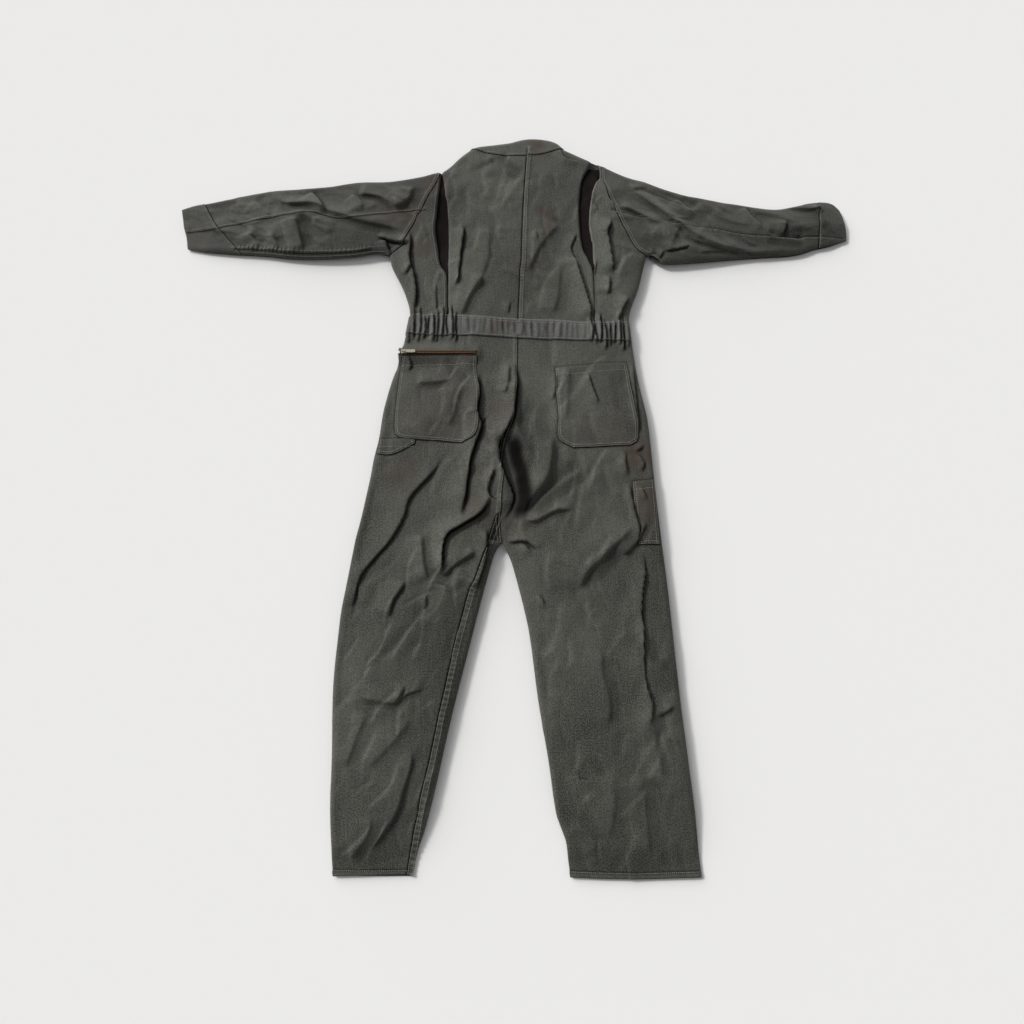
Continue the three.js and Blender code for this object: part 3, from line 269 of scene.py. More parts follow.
SLEEVE_FOLDS = [
    # left long ridge
    ([(-241, 536), (-281, 558), (-351, 575), (-400, 595), (-445, 612),
      (-485, 627), (-538, 631), (-584, 656)], 6, 14, 10, 3, 0.2),
    ([(-505, 606), (-491, 556), (-477, 507)], 6, 44, 14, 3, 0.3),  # left elbow bump
    ([(-427, 541), (-459, 563), (-480, 591)], 4, 12, 10, 1, 0.1),  # left elbow bump two
    ([(-611, 571), (-596, 541), (-581, 526)], 5, 34, 12, 2, 0.2),  # left wrist bump
    ([(-559, 566), (-548, 536), (-537, 512)], 4, 26, 12, 2, 0.2),  # left mid bump
    ([(-243, 522), (-280, 531), (-317, 544)], 9, 14, 6, 6, 0.9),  # left underarm fold
    ([(-302, 541), (-290, 517), (-278, 492)], 7, 14, 6, 5, 0.9),  # left underarm slit
    ([(-482, 674), (-453, 641), (-436, 611)], 6, 28, 8, 4, 0.4),  # left upper crease
    ([(-272, 606), (-293, 631), (-324, 649), (-369, 656)], 6, 24, 8, 3, 0.35),  # left top crease
    ([(-378, 664), (-354, 636), (-344, 611)], 4, 20, 8, 2, 0.2),  # left top crease two
    ([(-229, 682), (-236, 641), (-266, 611)], 4, 26, 12, 2, 0.2),  # left shoulder soft
    ([(-615, 656), (-581, 626), (-562, 611)], 3, 30, 12, 1, 0.1),  # left forearm top
    # right ridge a
    ([(564, 504), (509, 510), (454, 529), (405, 564), (371, 589),
      (334, 624), (292, 660), (269, 702)], 6, 14, 9, 3, 0.25),
    ([(344, 568), (311, 593), (281, 609), (251, 618)], 5, 10, 7, 3, 0.3),  # right ridge b
    # right ridge c
    ([(641, 497), (521, 503), (458, 521), (416, 538),
      (388, 578), (349, 589)], 4, 10, 7, 2, 0.2),
    ([(462, 638), (442, 608), (466, 583)], -4, 30, 20, 0, 0.2),  # right shade
    ([(553, 631), (568, 600), (596, 570)], 6, 18, 6, 3, 0.6),  # right elbow crease
    ([(650, 593), (637, 548)], 7, 26, 7, 4, 0.6),  # right wrist crease
    ([(692, 533), (645, 538), (598, 548)], -6, 16, 14, 0, 0.45),  # right wrist hollow
    ([(725, 642), (738, 610)], 7, 10, 5, 5, 1),  # right cuff notch
    ([(733, 614), (696, 622), (653, 626)], 4, 10, 7, 2, 0.15),  # right wrist ridge
    ([(419, 519), (384, 510), (352, 506)], 5, 10, 4, 3, 0.8),  # right underarm line
    ([(324, 516), (336, 499), (355, 479)], 8, 10, 5, 5, 0.8),  # right underarm crumple a
    ([(358, 511), (344, 489), (335, 480)], 6, 8, 4, 3, 0.7),  # right underarm crumple b
    ([(414, 583), (395, 553), (375, 504)], 3, 30, 14, 2, 0.1),  # right sleeve cross
    ([(401, 659), (417, 633), (443, 618)], 3, 24, 12, 1, 0.1),  # right sleeve top soft
    ([(520, 494), (478, 504), (435, 497)], 3, 14, 8, 1, 0.2),  # right sleeve low soft
]
FOLDS = BACK_FOLDS + SEAT_FOLDS + LEG_FOLDS + SLEEVE_FOLDS
print("folds placed by hand:", len(FOLDS))

# %% [markdown]
# Elastic at both sides of the waist draws the cloth into upright gathers, which fade out above
# and below the band. They are short folds too, so a loop writes them, with uneven spacing.

# %% Gathers at the elastic
CHANCE = np.random.default_rng(7)
GATHER_PITCH, PUCKER_PITCH = 10.5, 13.0
GATHER_LEFT = np.arange(-231, -118, GATHER_PITCH)
GATHER_RIGHT = np.arange(178, 268, GATHER_PITCH)
LEFT_BAND_Y, RIGHT_BAND_Y = (341, 292), (322, 275)  # top and bottom of the band beside each elastic
BAND_LEFT, BAND_RIGHT = (-112, 338), (174, 319)  # top corners of the band between them


def gather(x, top, bottom):
    """One upright fold through the band, with its own height and its own ends."""
    up, down = CHANCE.uniform(4, 28, 2)
    drift = CHANCE.uniform(-3, 3, 3)
    line = [(x + drift[0], top + up), (x + drift[1], (top + bottom) / 2), (x + drift[2], bottom - down)]
    # The last number is the shade painted into the gather's slit.
    return (line, CHANCE.uniform(4.5, 7.5), 6, 3.2, CHANCE.uniform(2, 3.5), CHANCE.uniform(0.65, 0.95))


FOLDS += [gather(x, *LEFT_BAND_Y) for x in GATHER_LEFT]
FOLDS += [gather(x, *RIGHT_BAND_Y) for x in GATHER_RIGHT]
# The crotch hollow sinks, with shade painted full dark into it.
CROTCH_PIT = ([(-12, 66), (0, 5), (13, -40), (16, -85), (2, -150)], -11, 12, 21, 0, 1.0)
FOLDS.append(CROTCH_PIT)
PUCKERS = np.arange(-98, 166, PUCKER_PITCH)
for x in PUCKERS + CHANCE.uniform(-4, 4, len(PUCKERS)):
    top = float(np.interp(x, *zip(BAND_LEFT, BAND_RIGHT)))
    line = [(x, top + 3), (x + CHANCE.uniform(-3, 3), top - 22), (x + CHANCE.uniform(-4, 4), top - 50)]
    # The last number is the faint shade painted into the pucker.
    FOLDS.append((line, CHANCE.uniform(0.8, 2.2), 5, 3.5, 0.8, CHANCE.uniform(0.1, 0.45)))
print("folds with the gathers:", len(FOLDS))

# %% [markdown]
# Worn twill is also covered in small creases that run mostly with the limb. They are drawn at
# random from a fixed seed inside each region, low and soft.

# %% Small creases
REGIONS = [  # low corner, high corner, main direction in degrees, how many
    ((-235, 350), (265, 780), 95, 90),
    ((-300, -170), (300, 280), 82, 90),
    ((-355, -820), (-90, -180), 68, 90),
    ((40, -820), (350, -180), 96, 96),
    ((-760, 515), (-250, 700), 158, 70),
    ((260, 500), (780, 690), 158, 70),
]


def small_crease(low, high, direction):
    """A short bent line in a region, with a low fold on it."""
    middle = CHANCE.uniform(low, high)
    turn = math.radians(direction + CHANCE.normal(0, 20))
    half = CHANCE.uniform(14, 60)
    reach = np.array([math.cos(turn), math.sin(turn)]) * half
    bow = np.array([-reach[1], reach[0]]) * CHANCE.uniform(-0.25, 0.25)
    line = [tuple(middle - reach), tuple(middle + bow), tuple(middle + reach)]
    wide = CHANCE.uniform(7, 26)
    high = CHANCE.uniform(0.5, 2.1)
    # The last number is the faint shade painted into the crease.
    return (line, high, wide, wide * 0.5, CHANCE.uniform(0, 1.2), CHANCE.uniform(0, 0.2))


for low, high, direction, count in REGIONS:
    FOLDS += [small_crease(low, high, direction) for _ in range(count)]
print("all folds:", len(FOLDS))

# %% [markdown]
# ## Seams
#
# Twill workwear has felled seams: the edges are folded into each other, stitched twice, and shrink
# a little when washed, so that a raised, puckered band runs beside the seam line. A seam is a
# line, the side its raised band is on, the band's width and height, and the pucker's length and
# height.

# %% Pocket borders and seam relief
def in_box(node, *shares_of_box):
    """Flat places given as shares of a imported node's box."""
    lo, hi = node_box(node)
    return curve([(lo[0] + u * (hi[0] - lo[0]), lo[1] + v * (hi[1] - lo[1])) for u, v in shares_of_box])


POCKETS = {  # bottom, top, left and right edge
    "rear_pocket_left": (
        in_box("rear_pocket_left", (0.25, 0.05), (0.81, 0.0)),
        in_box("rear_pocket_left", (0.05, 1.03), (1.0, 1.03)),
        in_box("rear_pocket_left", (0.25, 0.05), (0.06, 0.07), (-0.02, 0.19), (0.0, 0.59), (0.05, 1.03)),
        in_box("rear_pocket_left", (0.81, 0.0), (0.96, 0.11), (0.995, 0.37), (1.0, 1.03))),
    "rear_pocket_right": (
        in_box("rear_pocket_right", (0.19, -0.06), (0.89, -0.02)),
        in_box("rear_pocket_right", (-0.02, 0.90), (0.4, 0.93), (0.89, 0.985)),
        in_box("rear_pocket_right", (0.19, -0.06), (0.01, 0.05), (0.005, 0.285), (-0.02, 0.64),
               (-0.02, 0.90)),
        in_box("rear_pocket_right", (0.89, -0.02), (1.0, 0.08), (0.955, 0.46), (0.89, 0.985))),
    "rule_pocket": (
        in_box("rule_pocket", (0.18, 0.02), (1.3, 0.02)),
        in_box("rule_pocket", (-0.02, 0.985), (1.2, 1.03)),
        in_box("rule_pocket", (0.18, 0.02), (0.05, 0.5), (-0.02, 0.985)),
        in_box("rule_pocket", (1.3, 0.02), (1.25, 0.5), (1.2, 1.03))),
    "tool_loop": (
        in_box("tool_loop", (-0.27, 0.23), (0.39, 0.16), (1.21, 0.94)),
        in_box("tool_loop", (-0.24, 1.35), (1.21, 1.32)),
        in_box("tool_loop", (-0.27, 0.23), (-0.24, 1.35)),
        in_box("tool_loop", (1.21, 0.94), (1.21, 1.32))),
}
BACK_SEAM = curve([(37, 786), (29, 662), (22, 525), (14, 331)])
SEAMS = [  # line, width (minus: on the other side), height, pucker length, pucker height
    (BACK_SEAM, 11, 1.3, 7.5, 0.9),
    (SEAT_SEAM, 10, 0.8, 9, 0.3),
    (INSEAM_LEFT, -14, 1.3, 11, 1.8),
    (SLEEVE_SEAM_LEFT, 8, 0.7, 12, 0.25),
    (SLEEVE_SEAM_RIGHT, -8, 0.7, 12, 0.25),
    (part_of(SLEEVE_LEFT_LOW, 0, -650, -330) + [0, 9], 9, 0.8, 9.6, 1.5),
    (ARMHOLE_LEFT, 9, 0.9, 9, 0.4),
    (ARMHOLE_RIGHT, -9, 0.9, 9, 0.4),
    (CUFF_JOIN_LEFT, 7, 0.7, 9, 0.3),
    (CUFF_JOIN_RIGHT, -7, 0.7, 9, 0.3),
    (NECK_SEAM, 6, 0.6, 9, 0.4),
    (HEM_LEFT + [0, 11], -11, 0.8, 8, 0.5),
    (HEM_RIGHT + [0, 11], -11, 0.8, 8, 0.5),
]
# The pocket borders get only the seam groove and its painted shade line.
SEAMS += [(line, 2, 0, 8, 0.0) for edges in POCKETS.values() for line in edges]
print("seams with relief:", len(SEAMS))


def near(line, x, y, reach):
    """The places within reach of a line: their numbers, how far to its left and how far along they are,
    which way is left there, and the whole line's length."""
    line = np.asarray(line, float)
    lo, hi = line.min(0) - reach, line.max(0) + reach
    pick = np.flatnonzero((x > lo[0]) & (x < hi[0]) & (y > lo[1]) & (y < hi[1]))
    px, py = x[pick], y[pick]
    best = np.full(pick.size, 1e9)
    side, gone = np.zeros(pick.size), np.zeros(pick.size)
    left = np.zeros((pick.size, 2))
    run = 0.0
    for (ax, ay), (bx, by) in zip(line[:-1], line[1:]):
        dx, dy = bx - ax, by - ay
        long = math.hypot(dx, dy)
        if long < 1e-6:
            continue
        t = np.clip(((px - ax) * dx + (py - ay) * dy) / long**2, 0, 1)
        ex, ey = px - ax - t * dx, py - ay - t * dy
        far = np.hypot(ex, ey)
        closer = far < best - 1e-9
        best[closer] = far[closer]
        across = (dx * ey - dy * ex) / long
        side[closer] = (np.where(across >= 0, 1, -1) * far)[closer]
        gone[closer] = (run + t * long)[closer]
        left[closer] = (-dy / long, dx / long)
        run += long
    keep = best < reach
    return pick[keep], side[keep], gone[keep], left[keep], run


SHORT_RUN = 8  # a line is measured to in runs of this many steps


def distance_to(lines, x, y, reach):
    """How far each place is from the nearest of the lines, up to reach; far runs are ruled out at once."""
    out = np.full(x.size, float(reach))
    for line in lines:
        for k in range(0, len(line) - 1, SHORT_RUN):
            pick, side, *_ = near(line[k : k + SHORT_RUN + 1], x, y, reach)
            out[pick] = np.minimum(out[pick], np.abs(side))
    return out


def ease(t):
    """A step from 0 to 1 with soft ends."""
    t = np.clip(t, 0, 1)
    return t * t * (3 - 2 * t)


# %% [markdown]
# ## From the flat pattern to the lying cloth
#
# The upper layer starts at the folded edge of the suit, curls up within a few millimetres and
# then lies a little proud of the floor, lower at the hems. The lower layer lies on the pockets and
# sliders beneath it. Both heights come from the imported model. Unevenness of a hand's breadth is a
# sum of slow waves. Then the folds and the seams are added, and each place also gets three
# numbers for the finish: how much shade is painted on it in a fold or seam, how worn it is, and how
# stained. The wear number also carries painted light: a highlight on fold ridges, darker hollows, and
# cloth that is paler towards the collar and darker towards the hems.

# %% The lying surface
BACK_TOP = node_box("back_panel_left")[1][2] - 3
FRONT_LOW = node_box("front_panel_left")[0][2]
CUFF_TOP, HEM_TOP, EDGE_ROLL = 18.0, 13.0, 13.0
HEM_Y, HEM_SLOPE, HEM_REGION = -829, 150, -600  # the legs come down to their hems over this length
ARM_X, ARM_SLOPE, ARM_REGION = 380, 380, 480  # and the arms to their cuffs over this one
CROWN, CROWN_REACH = 5, 80  # the cloth still rises this much on its way to the middle
OPENING_DROP, OPENING_REACH, LOOSE_REACH = 6, 60, 22
ZIP_LOW, ZIP_HIGH = node_box("rear_zip_teeth_lower")[0], node_box("rear_zip_teeth_upper")[1]
ZIP_Y = (ZIP_LOW[1] + ZIP_HIGH[1]) / 2
ZIP_SIDE, ZIP_END, ZIP_FADE, ZIP_SINK = 34, 18, 14, 1.4  # the cloth lies down around the rear zip
EDGE_LIFT, LOWEST = 4.5, 0.8
WAVES = [(CHANCE.uniform(-1, 1, 2) / CHANCE.uniform(18, 60), CHANCE.uniform(0, 6.3)) for _ in range(44)]
STAINS = [  # middle, reach, strength
    ((58, 806), 16, 0.9), ((66, 772), 10, 0.6), ((74, 612), 20, 0.8), ((276, 10), 34, 0.85),
    ((290, -120), 32, 0.6), ((-248, 600), 36, 0.55), ((-190, 700), 24, 0.45), ((-30, 310), 16, 0.6),
    ((-8, 318), 12, 0.5), ((-20, 110), 22, 0.4), ((-242, -36), 26, 0.4), ((-60, -110), 26, 0.4),
    ((-222, 520), 22, 0.5), ((300, 470), 20, 0.45), ((-747, 540), 26, 0.4), ((-210, 250), 24, 0.2),
    ((40, 470), 30, 0.2), ((-150, 90), 60, 0.22), ((210, 60), 40, 0.15), ((0, -140), 30, 0.3),
]


def crisp(line, high, wide, crest, lean, dark):
    """A fold with deep painted shade closes to a narrow slit; a faintly shaded one stays as broad as it was
    drawn.
    """
    if dark < 0.4 or high < 0:
        return (curve(line, 11.0), high, wide, crest, lean, dark)
    return (curve(line, 11.0), 0.8 * high, 0.85 * wide, max(3.0, 0.62 * crest), 0.8 * lean, dark)


SMOOTH_FOLDS = [crisp(*fold) for fold in FOLDS]


def height_of_lower(x, y):
    """Height of the lower layer's outside over the floor; it settles at the hems and the cuffs."""
    raised = ease((y + 800) / 240) * (1 - ease((np.abs(x) - 330) / 300))
    return LOWEST + (FRONT_LOW - LOWEST) * raised


def waves(x, y, scale):
    """Slow unevenness of the cloth, between about -1 and 1."""
    total = np.zeros(x.size)
    for (kx, ky), phase in WAVES:
        total += np.sin((kx * x + ky * y * 0.6) / scale * 2.2 + phase)
    return total / 7


def lying_height(x, y, edge, opening):
    """The smooth upper layer: its height, its least height, how far it has curled, and how loose it is."""
    floor = height_of_lower(x, y) + EDGE_LIFT
    top = BACK_TOP - (BACK_TOP - HEM_TOP) * ease(1 - (y - HEM_Y) / HEM_SLOPE) * (y < HEM_REGION)
    top -= (BACK_TOP - CUFF_TOP) * ease((np.abs(x) - ARM_X) / ARM_SLOPE) * (y > ARM_REGION)
    curl = np.sqrt(1 - (1 - np.clip(edge / EDGE_ROLL, 0, 1)) ** 2)
    z = floor + (top - CROWN - floor) * curl + CROWN * ease(edge / CROWN_REACH)
    z -= OPENING_DROP * ease(1 - opening / OPENING_REACH) * curl
    loose = ease(edge / LOOSE_REACH)
    z += loose * (2.6 * waves(x, y, 2.2) + 1.0 * waves(y, x, 0.9) + 0.3 * waves(x, y, 0.35))
    return z, floor, curl, loose


def add_folds(x, y, z, loose, shade, wear_and_painted_light):
    """Raises the ridges and sinks the slits, paints shade into each slit, and gives how far each place leans
    over sideways.
    """
    moved = np.zeros((x.size, 2))
    for line, high, wide, crest, lean, dark in SMOOTH_FOLDS:
        pick, side, gone, left, long = near(line, x, y, 2.0 * wide + 1.6 * crest)
        if pick.size == 0:
            continue
        taper = max(16.0, 0.17 * long)
        ends = ease(gone / taper) * ease((long - gone) / taper) * (0.35 + 0.65 * loose[pick])
        slope = np.where(side < -crest, 1.2 * wide, 0.5 * crest)
        ridge = np.exp(-(((side + crest) / slope) ** 2)) * ends
        rise = np.where(side < 0.25 * crest, 0.75 * crest, 0.75 * crest + 0.45 * wide)
        slit = np.exp(-(((side - 0.25 * crest) / rise) ** 2)) * ends
        # Painted shade: a dark band just past the crest, in the slit the crest hangs over; its depth is the
        # fold's last number.
        deep = np.where(side < 0.5 * crest, 1.0 * crest, 0.75 * crest)
        painted_fold_shade = dark * np.exp(-(((side - 0.5 * crest) / deep) ** 4)) * ends
        z[pick] += 1.1 * high * ridge - 0.45 * abs(high) * slit
        moved[pick] += left * (1.15 * lean * ridge)[:, None]
        shade[pick] = np.maximum(shade[pick], painted_fold_shade)
        # Wear on the ridges that is partly a painted highlight; a hollow (negative height) is painted darker
        # here.
        wear_and_painted_light[pick] += np.clip(high / 16, -0.3, 0.35) * ridge
    return moved


def add_seams(x, y, z, shade, wear_and_painted_light):
    """Raises the puckered band beside each seam, cuts the groove along it, and paints shade into the groove
    and the pucker troughs.
    """
    for line, wide, high, pucker, pull in SEAMS:
        pick, side, gone, *_ = near(line, x, y, abs(wide) * 2 + 6)
        s = side * np.sign(wide)
        band = ease(s / 1.2) * ease((abs(wide) - s) / 1.5)
        uneven = np.sin(gone / 31) + np.sin(gone / 17 + 1.3)
        beat = np.sin(gone / pucker * 2 * np.pi + 1.6 * uneven) * (0.75 + 0.25 * np.sin(gone / 43))
        z[pick] += high * band + pull * beat * np.exp(-(((s - abs(wide) / 2) / (0.65 * abs(wide))) ** 2))
        z[pick] -= 0.9 * np.exp(-((s / 1.4) ** 2))
        # Painted shade: a dark line along each seam groove and in the pucker troughs.
        shade[pick] = np.maximum(shade[pick], 0.82 * np.exp(-((s / 2.0) ** 2)))
        shade[pick] = np.maximum(shade[pick], 0.22 * pull * np.clip(-beat, 0, 1) * band)
        wear_and_painted_light[pick] += 0.35 * band + 0.3 * pull * np.clip(beat, 0, 1) * band


def stains(x, y):
    """How strong the brown stains are, with ragged borders."""
    stain = np.zeros(x.size)
    ragged = 1 + 0.35 * waves(x, y, 0.5)
    for (cx, cy), wide, strong in STAINS:
        stain = np.maximum(stain, strong * ease(1.6 - np.hypot(x - cx, y - cy) / wide * ragged))
    return stain


def beside_zip(x, y):
    """1 where the cloth lies down beside the rear zip, and 0 further off."""
    before, after = x - ZIP_LOW[0] + ZIP_END, ZIP_HIGH[0] + ZIP_END - x
    return ease(1 - np.abs(y - ZIP_Y) / ZIP_SIDE) * ease(before / ZIP_FADE) * ease(after / ZIP_FADE)


def upper(x, y, lift=0.0):
    """Places on the upper layer: x, y and z in millimetres, then painted shade, wear with painted light, and
    stain.
    """
    x, y = np.asarray(x, float).ravel(), np.asarray(y, float).ravel()
    edge = distance_to(FOLDED_EDGES, x, y, 90)
    opening = distance_to(OPEN_EDGES, x, y, 120)
    z, floor, curl, loose = lying_height(x, y, edge, opening)
    shade = np.zeros(x.size)
    # Painted light: the wear number rises towards the collar, so the cloth is paler at the top and darker
    # towards the hems; it is also lower on the left sleeve, which makes that darker.
    wear_and_painted_light = 0.08 + 0.2 * ease((y + 420) / 600) - 0.14 * ease((-x - 240) / 120) * (y > 450)
    wear_and_painted_light += 0.25 * waves(x, y, 3.0)
    moved = add_folds(x, y, z, loose, shade, wear_and_painted_light)
    add_seams(x, y, z, shade, wear_and_painted_light)
    wear_and_painted_light += 0.25 * np.exp(-((edge / 5) ** 2)) + 0.3 * np.exp(-((opening / 5) ** 2))
    z += (ZIP_LOW[2] - ZIP_SINK - z) * beside_zip(x, y)
    z = np.maximum(z, floor + 1.2 * curl) + lift
    place = np.stack([x + moved[:, 0], y + moved[:, 1], z], 1)
    return place, np.clip(np.stack([shade, wear_and_painted_light, stains(x, y)], 1), 0, 1)


def lower(x, y, lift=0.0):
    """Places on the lower layer, whose outside faces the floor."""
    x, y = np.asarray(x, float).ravel(), np.asarray(y, float).ravel()
    edge = distance_to(FOLDED_EDGES, x, y, 40)
    base = height_of_lower(x, y)
    curl = np.sqrt(1 - (1 - np.clip(edge / 9, 0, 1)) ** 2)
    z = base + EDGE_LIFT * (1 - curl) + ease(edge / 12) * (0.45 * waves(x, y, 1.6) + 0.2 * waves(y, x, 0.6))
    wear_and_painted_light = np.clip(0.3 + 0.25 * waves(x, y, 3.0), 0, 1)
    none = np.zeros(x.size)
    return np.stack([x, y, np.maximum(z, 0.5) + lift], 1), np.stack([none, wear_and_painted_light, none], 1)


print("back lies at", round(BACK_TOP, 1), "mm, front at", round(float(height_of_lower(0.0, 0.0)), 1), "mm")

# %% [markdown]
# ## One sheet of cloth
#
# A cut panel has four border curves. A grid is stretched between them, finer where the cloth
# curls over an edge, and every crossing is carried to the lying surface. The grid alone would be
# a sheet with no thickness, so Solidify gives it that of the twill.

# %% Sheets between four curves
def join(*lines):
    """One line made of several that follow each other."""
    return np.vstack(lines)


def line_to(*points):
    """A straight or broken line."""
    return np.array(points, float)


UPPER_STEP, LOWER_STEP = 3.1, 8.0  # grid of the side that shows and of the side beneath
CLOTH = 1.1
RUB_REACH, RUB = 3.5, 0.7  # sewn borders are worn this far to each side, and this much
SLANTING = 0.35  # a panel that fills less of its upright box than this is a slanting strip
# The numbers a finish reads from the mesh: painted shade, wear that also carries painted light, and stain.
NUMBERS = ("shade", "wear_and_painted_light", "stain")
CURL_STOPS = np.array([0, 0.7, 1.9, 3.6, 6.0, 9.0])


def shares(long, step, curl_low=False, curl_high=False):
    """Shares of a length for the grid lines, close together at an edge that curls."""
    low = CURL_STOPS if curl_low else np.array([0.0])
    high = long - CURL_STOPS[::-1] if curl_high else np.array([long])
    span = high[0] - low[-1]
    middle = np.linspace(low[-1], high[0], max(2, int(round(span / step)) + 1))[1:-1]
    return np.concatenate([low, middle, high]) / long


def grid_between(bottom, top, left, right, across, upward):
    """The flat places of a grid between four curves; left and right run upward."""
    b, t = along(bottom, across), along(top, across)
    l, r = along(left, upward), along(right, upward)
    u, v = across[None, :, None], upward[:, None, None]
    sides = (1 - u) * l[:, None] + u * r[:, None]
    ends = (1 - v) * b[None] + v * t[None]
    corners = (1 - v) * ((1 - u) * b[0] + u * b[-1]) + v * ((1 - u) * t[0] + u * t[-1])
    return sides + ends - corners


def put_mesh(name, places, faces, material, uv, shade_wear_stain):
    """A mesh object at the origin from places in millimetres, with its numbers for painted shade, wear with
    painted light, and stain.
    """
    mesh = bpy.data.meshes.new(name)
    mesh.from_pydata((places * MM).tolist(), [], faces)
    layer = mesh.uv_layers.new(name="cloth")
    corner = np.zeros(len(mesh.loops), int)
    mesh.loops.foreach_get("vertex_index", corner)
    layer.data.foreach_set("uv", (uv[corner] * MM).ravel())
    for k, label in enumerate(NUMBERS):
        mesh.attributes.new(label, "FLOAT", "POINT").data.foreach_set("value", shade_wear_stain[:, k].astype("f"))
    mesh.shade_smooth()
    mesh.materials.append(material)
    piece = bpy.data.objects.new(name, mesh)
    bpy.context.collection.objects.link(piece)
    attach(piece, BODY)
    return piece


def grid_faces(rows, columns, flip):
    """The squares of a grid whose points are numbered row by row."""
    k = (np.arange(rows - 1)[:, None] * columns + np.arange(columns - 1)[None]).ravel()
    square = np.stack([k, k + 1, k + columns + 1, k + columns], 1)
    return (square[:, ::-1] if flip else square).tolist()


def thicken(piece, thickness):
    """Gives a sheet its cloth thickness, inward from the side that is seen."""
    solid = piece.modifiers.new("cloth thickness", "SOLIDIFY")
    solid.thickness = thickness * MM
    solid.offset = -1


def sheet(name, bottom, top, left, right, material, nodes, slot="cloth", below=False, lift=0.0,
          step=None, curls=(False,) * 4, turn=False, tuck=(), rubbed=(), thickness=CLOTH, rests=(),
          fullness=1.0):
    """A cut panel: its grid on the lying surface, its thickness, and what it stands for."""
    step = step or (LOWER_STEP if below else UPPER_STEP)
    wide = max(np.hypot(*np.diff(c, axis=0).T).sum() for c in (bottom, top))
    heart = line_to(*along(bottom, [0.5]), *along(top, [0.5]))
    high = max(np.hypot(*np.diff(c, axis=0).T).sum() for c in (left, right, heart))
    upward = shares(high, step, *curls[2:])
    flat = grid_between(bottom, top, left, right, shares(wide, step, *curls[:2]), upward)
    rows, columns = flat.shape[:2]
    x, y = flat[..., 0].ravel(), flat[..., 1].ravel()
    places, shade_wear_stain = (lower if below else upper)(x, y)
    for line, reach, drop in tuck:
        pick, side, *_ = near(line, x, y, reach)
        places[pick, 2] -= drop * (1 - np.abs(side) / reach) ** 2
    for line in rubbed:
        pick, side, *_ = near(line, x, y, RUB_REACH)
        shade_wear_stain[pick, 1] = np.minimum(1, shade_wear_stain[pick, 1] + RUB * (1 - np.abs(side) / RUB_REACH))
    places[:, 2] += lift(x, y) if callable(lift) else lift
    uv = np.stack([y, x] if turn else [x, y], 1)
    piece = put_mesh(name + "_cloth", places, grid_faces(rows, columns, below), material, uv, shade_wear_stain)
    thicken(piece, thickness)
    rim = np.vstack([bottom, right, top[::-1], left[::-1]])
    area = 0.5 * abs(np.sum(rim[:, 0] * np.roll(rim[:, 1], -1) - rim[:, 1] * np.roll(rim[:, 0], -1)))
    size = (rim.max(0) - rim.min(0)) * MM
    if area * MM * MM < SLANTING * size[0] * size[1]:  # it is measured along itself
        size = np.array([wide, high]) * MM
    size[0] *= fullness
    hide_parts(*nodes)
    print(f"{name}: {rows} by {columns}, flat {size[0]:.3f} by {size[1]:.3f} m")
    return piece

# %% [markdown]
# ## Finishes
#
# The cloth is a cotton twill: steep diagonal ribs under a millimetre apart, slightly shiny along
# the thread, with slubs that run along the warp, sun-faded ridges that are partly a painted
# highlight, folds with painted shade, and brown stains. Each effect is a node group that several
# finishes share. The three finish numbers come from the mesh, so the wear and the painted shade and
# light sit on the real folds and seams. The weave follows each panel's own flat pattern, as it does
# in cut cloth.

# %% Node helpers
def group(name, inputs, outputs):
    """An empty node group with named sockets, and its input and output nodes."""
    tree = bpy.data.node_groups.new(name, "ShaderNodeTree")
    for label, kind in inputs:
        tree.interface.new_socket(label, in_out="INPUT", socket_type="NodeSocket" + kind)
    for label, kind in outputs:
        tree.interface.new_socket(label, in_out="OUTPUT", socket_type="NodeSocket" + kind)
    return tree, tree.nodes.new("NodeGroupInput"), tree.nodes.new("NodeGroupOutput")


def feed(tree, sockets, values):
    """Gives each socket its value, which is a number, a colour or another node's output."""
    for socket, value in zip(sockets, values):
        if isinstance(value, bpy.types.NodeSocket):
            tree.links.new(value, socket)
        else:
            socket.default_value = value


def math_node(tree, operation, *values):
    """A Math node; each value is a number or a socket."""
    made = tree.nodes.new("ShaderNodeMath")
    made.operation = operation
    feed(tree, made.inputs, values)
    return made.outputs[0]


def noise(tree, place, scale, detail=3.0, stretch=(1, 1, 1)):
    """A noise pattern on stretched coordinates."""
    mapping = tree.nodes.new("ShaderNodeMapping")
    mapping.inputs["Scale"].default_value = stretch
    tree.links.new(place, mapping.inputs["Vector"])
    made = tree.nodes.new("ShaderNodeTexNoise")
    tree.links.new(mapping.outputs[0], made.inputs["Vector"])
    made.inputs["Scale"].default_value = scale
    made.inputs["Detail"].default_value = detail
    return made.outputs["Fac"]


def mix_colour(tree, share, low, high, blend="MIX"):
    """A mix of two colours, each a colour or a socket."""
    made = tree.nodes.new("ShaderNodeMix")
    made.data_type = "RGBA"
    made.blend_type = blend
    feed(tree, (made.inputs["Factor"], made.inputs[6], made.inputs[7]), (share, low, high))
    return made.outputs[2]


# %% [markdown]
# ### Twill
#
# The rib is a sine across the diagonal, and a second sine along it cuts it into single floats of
# thread. The group gives a height for the bump and a mask for the colour.

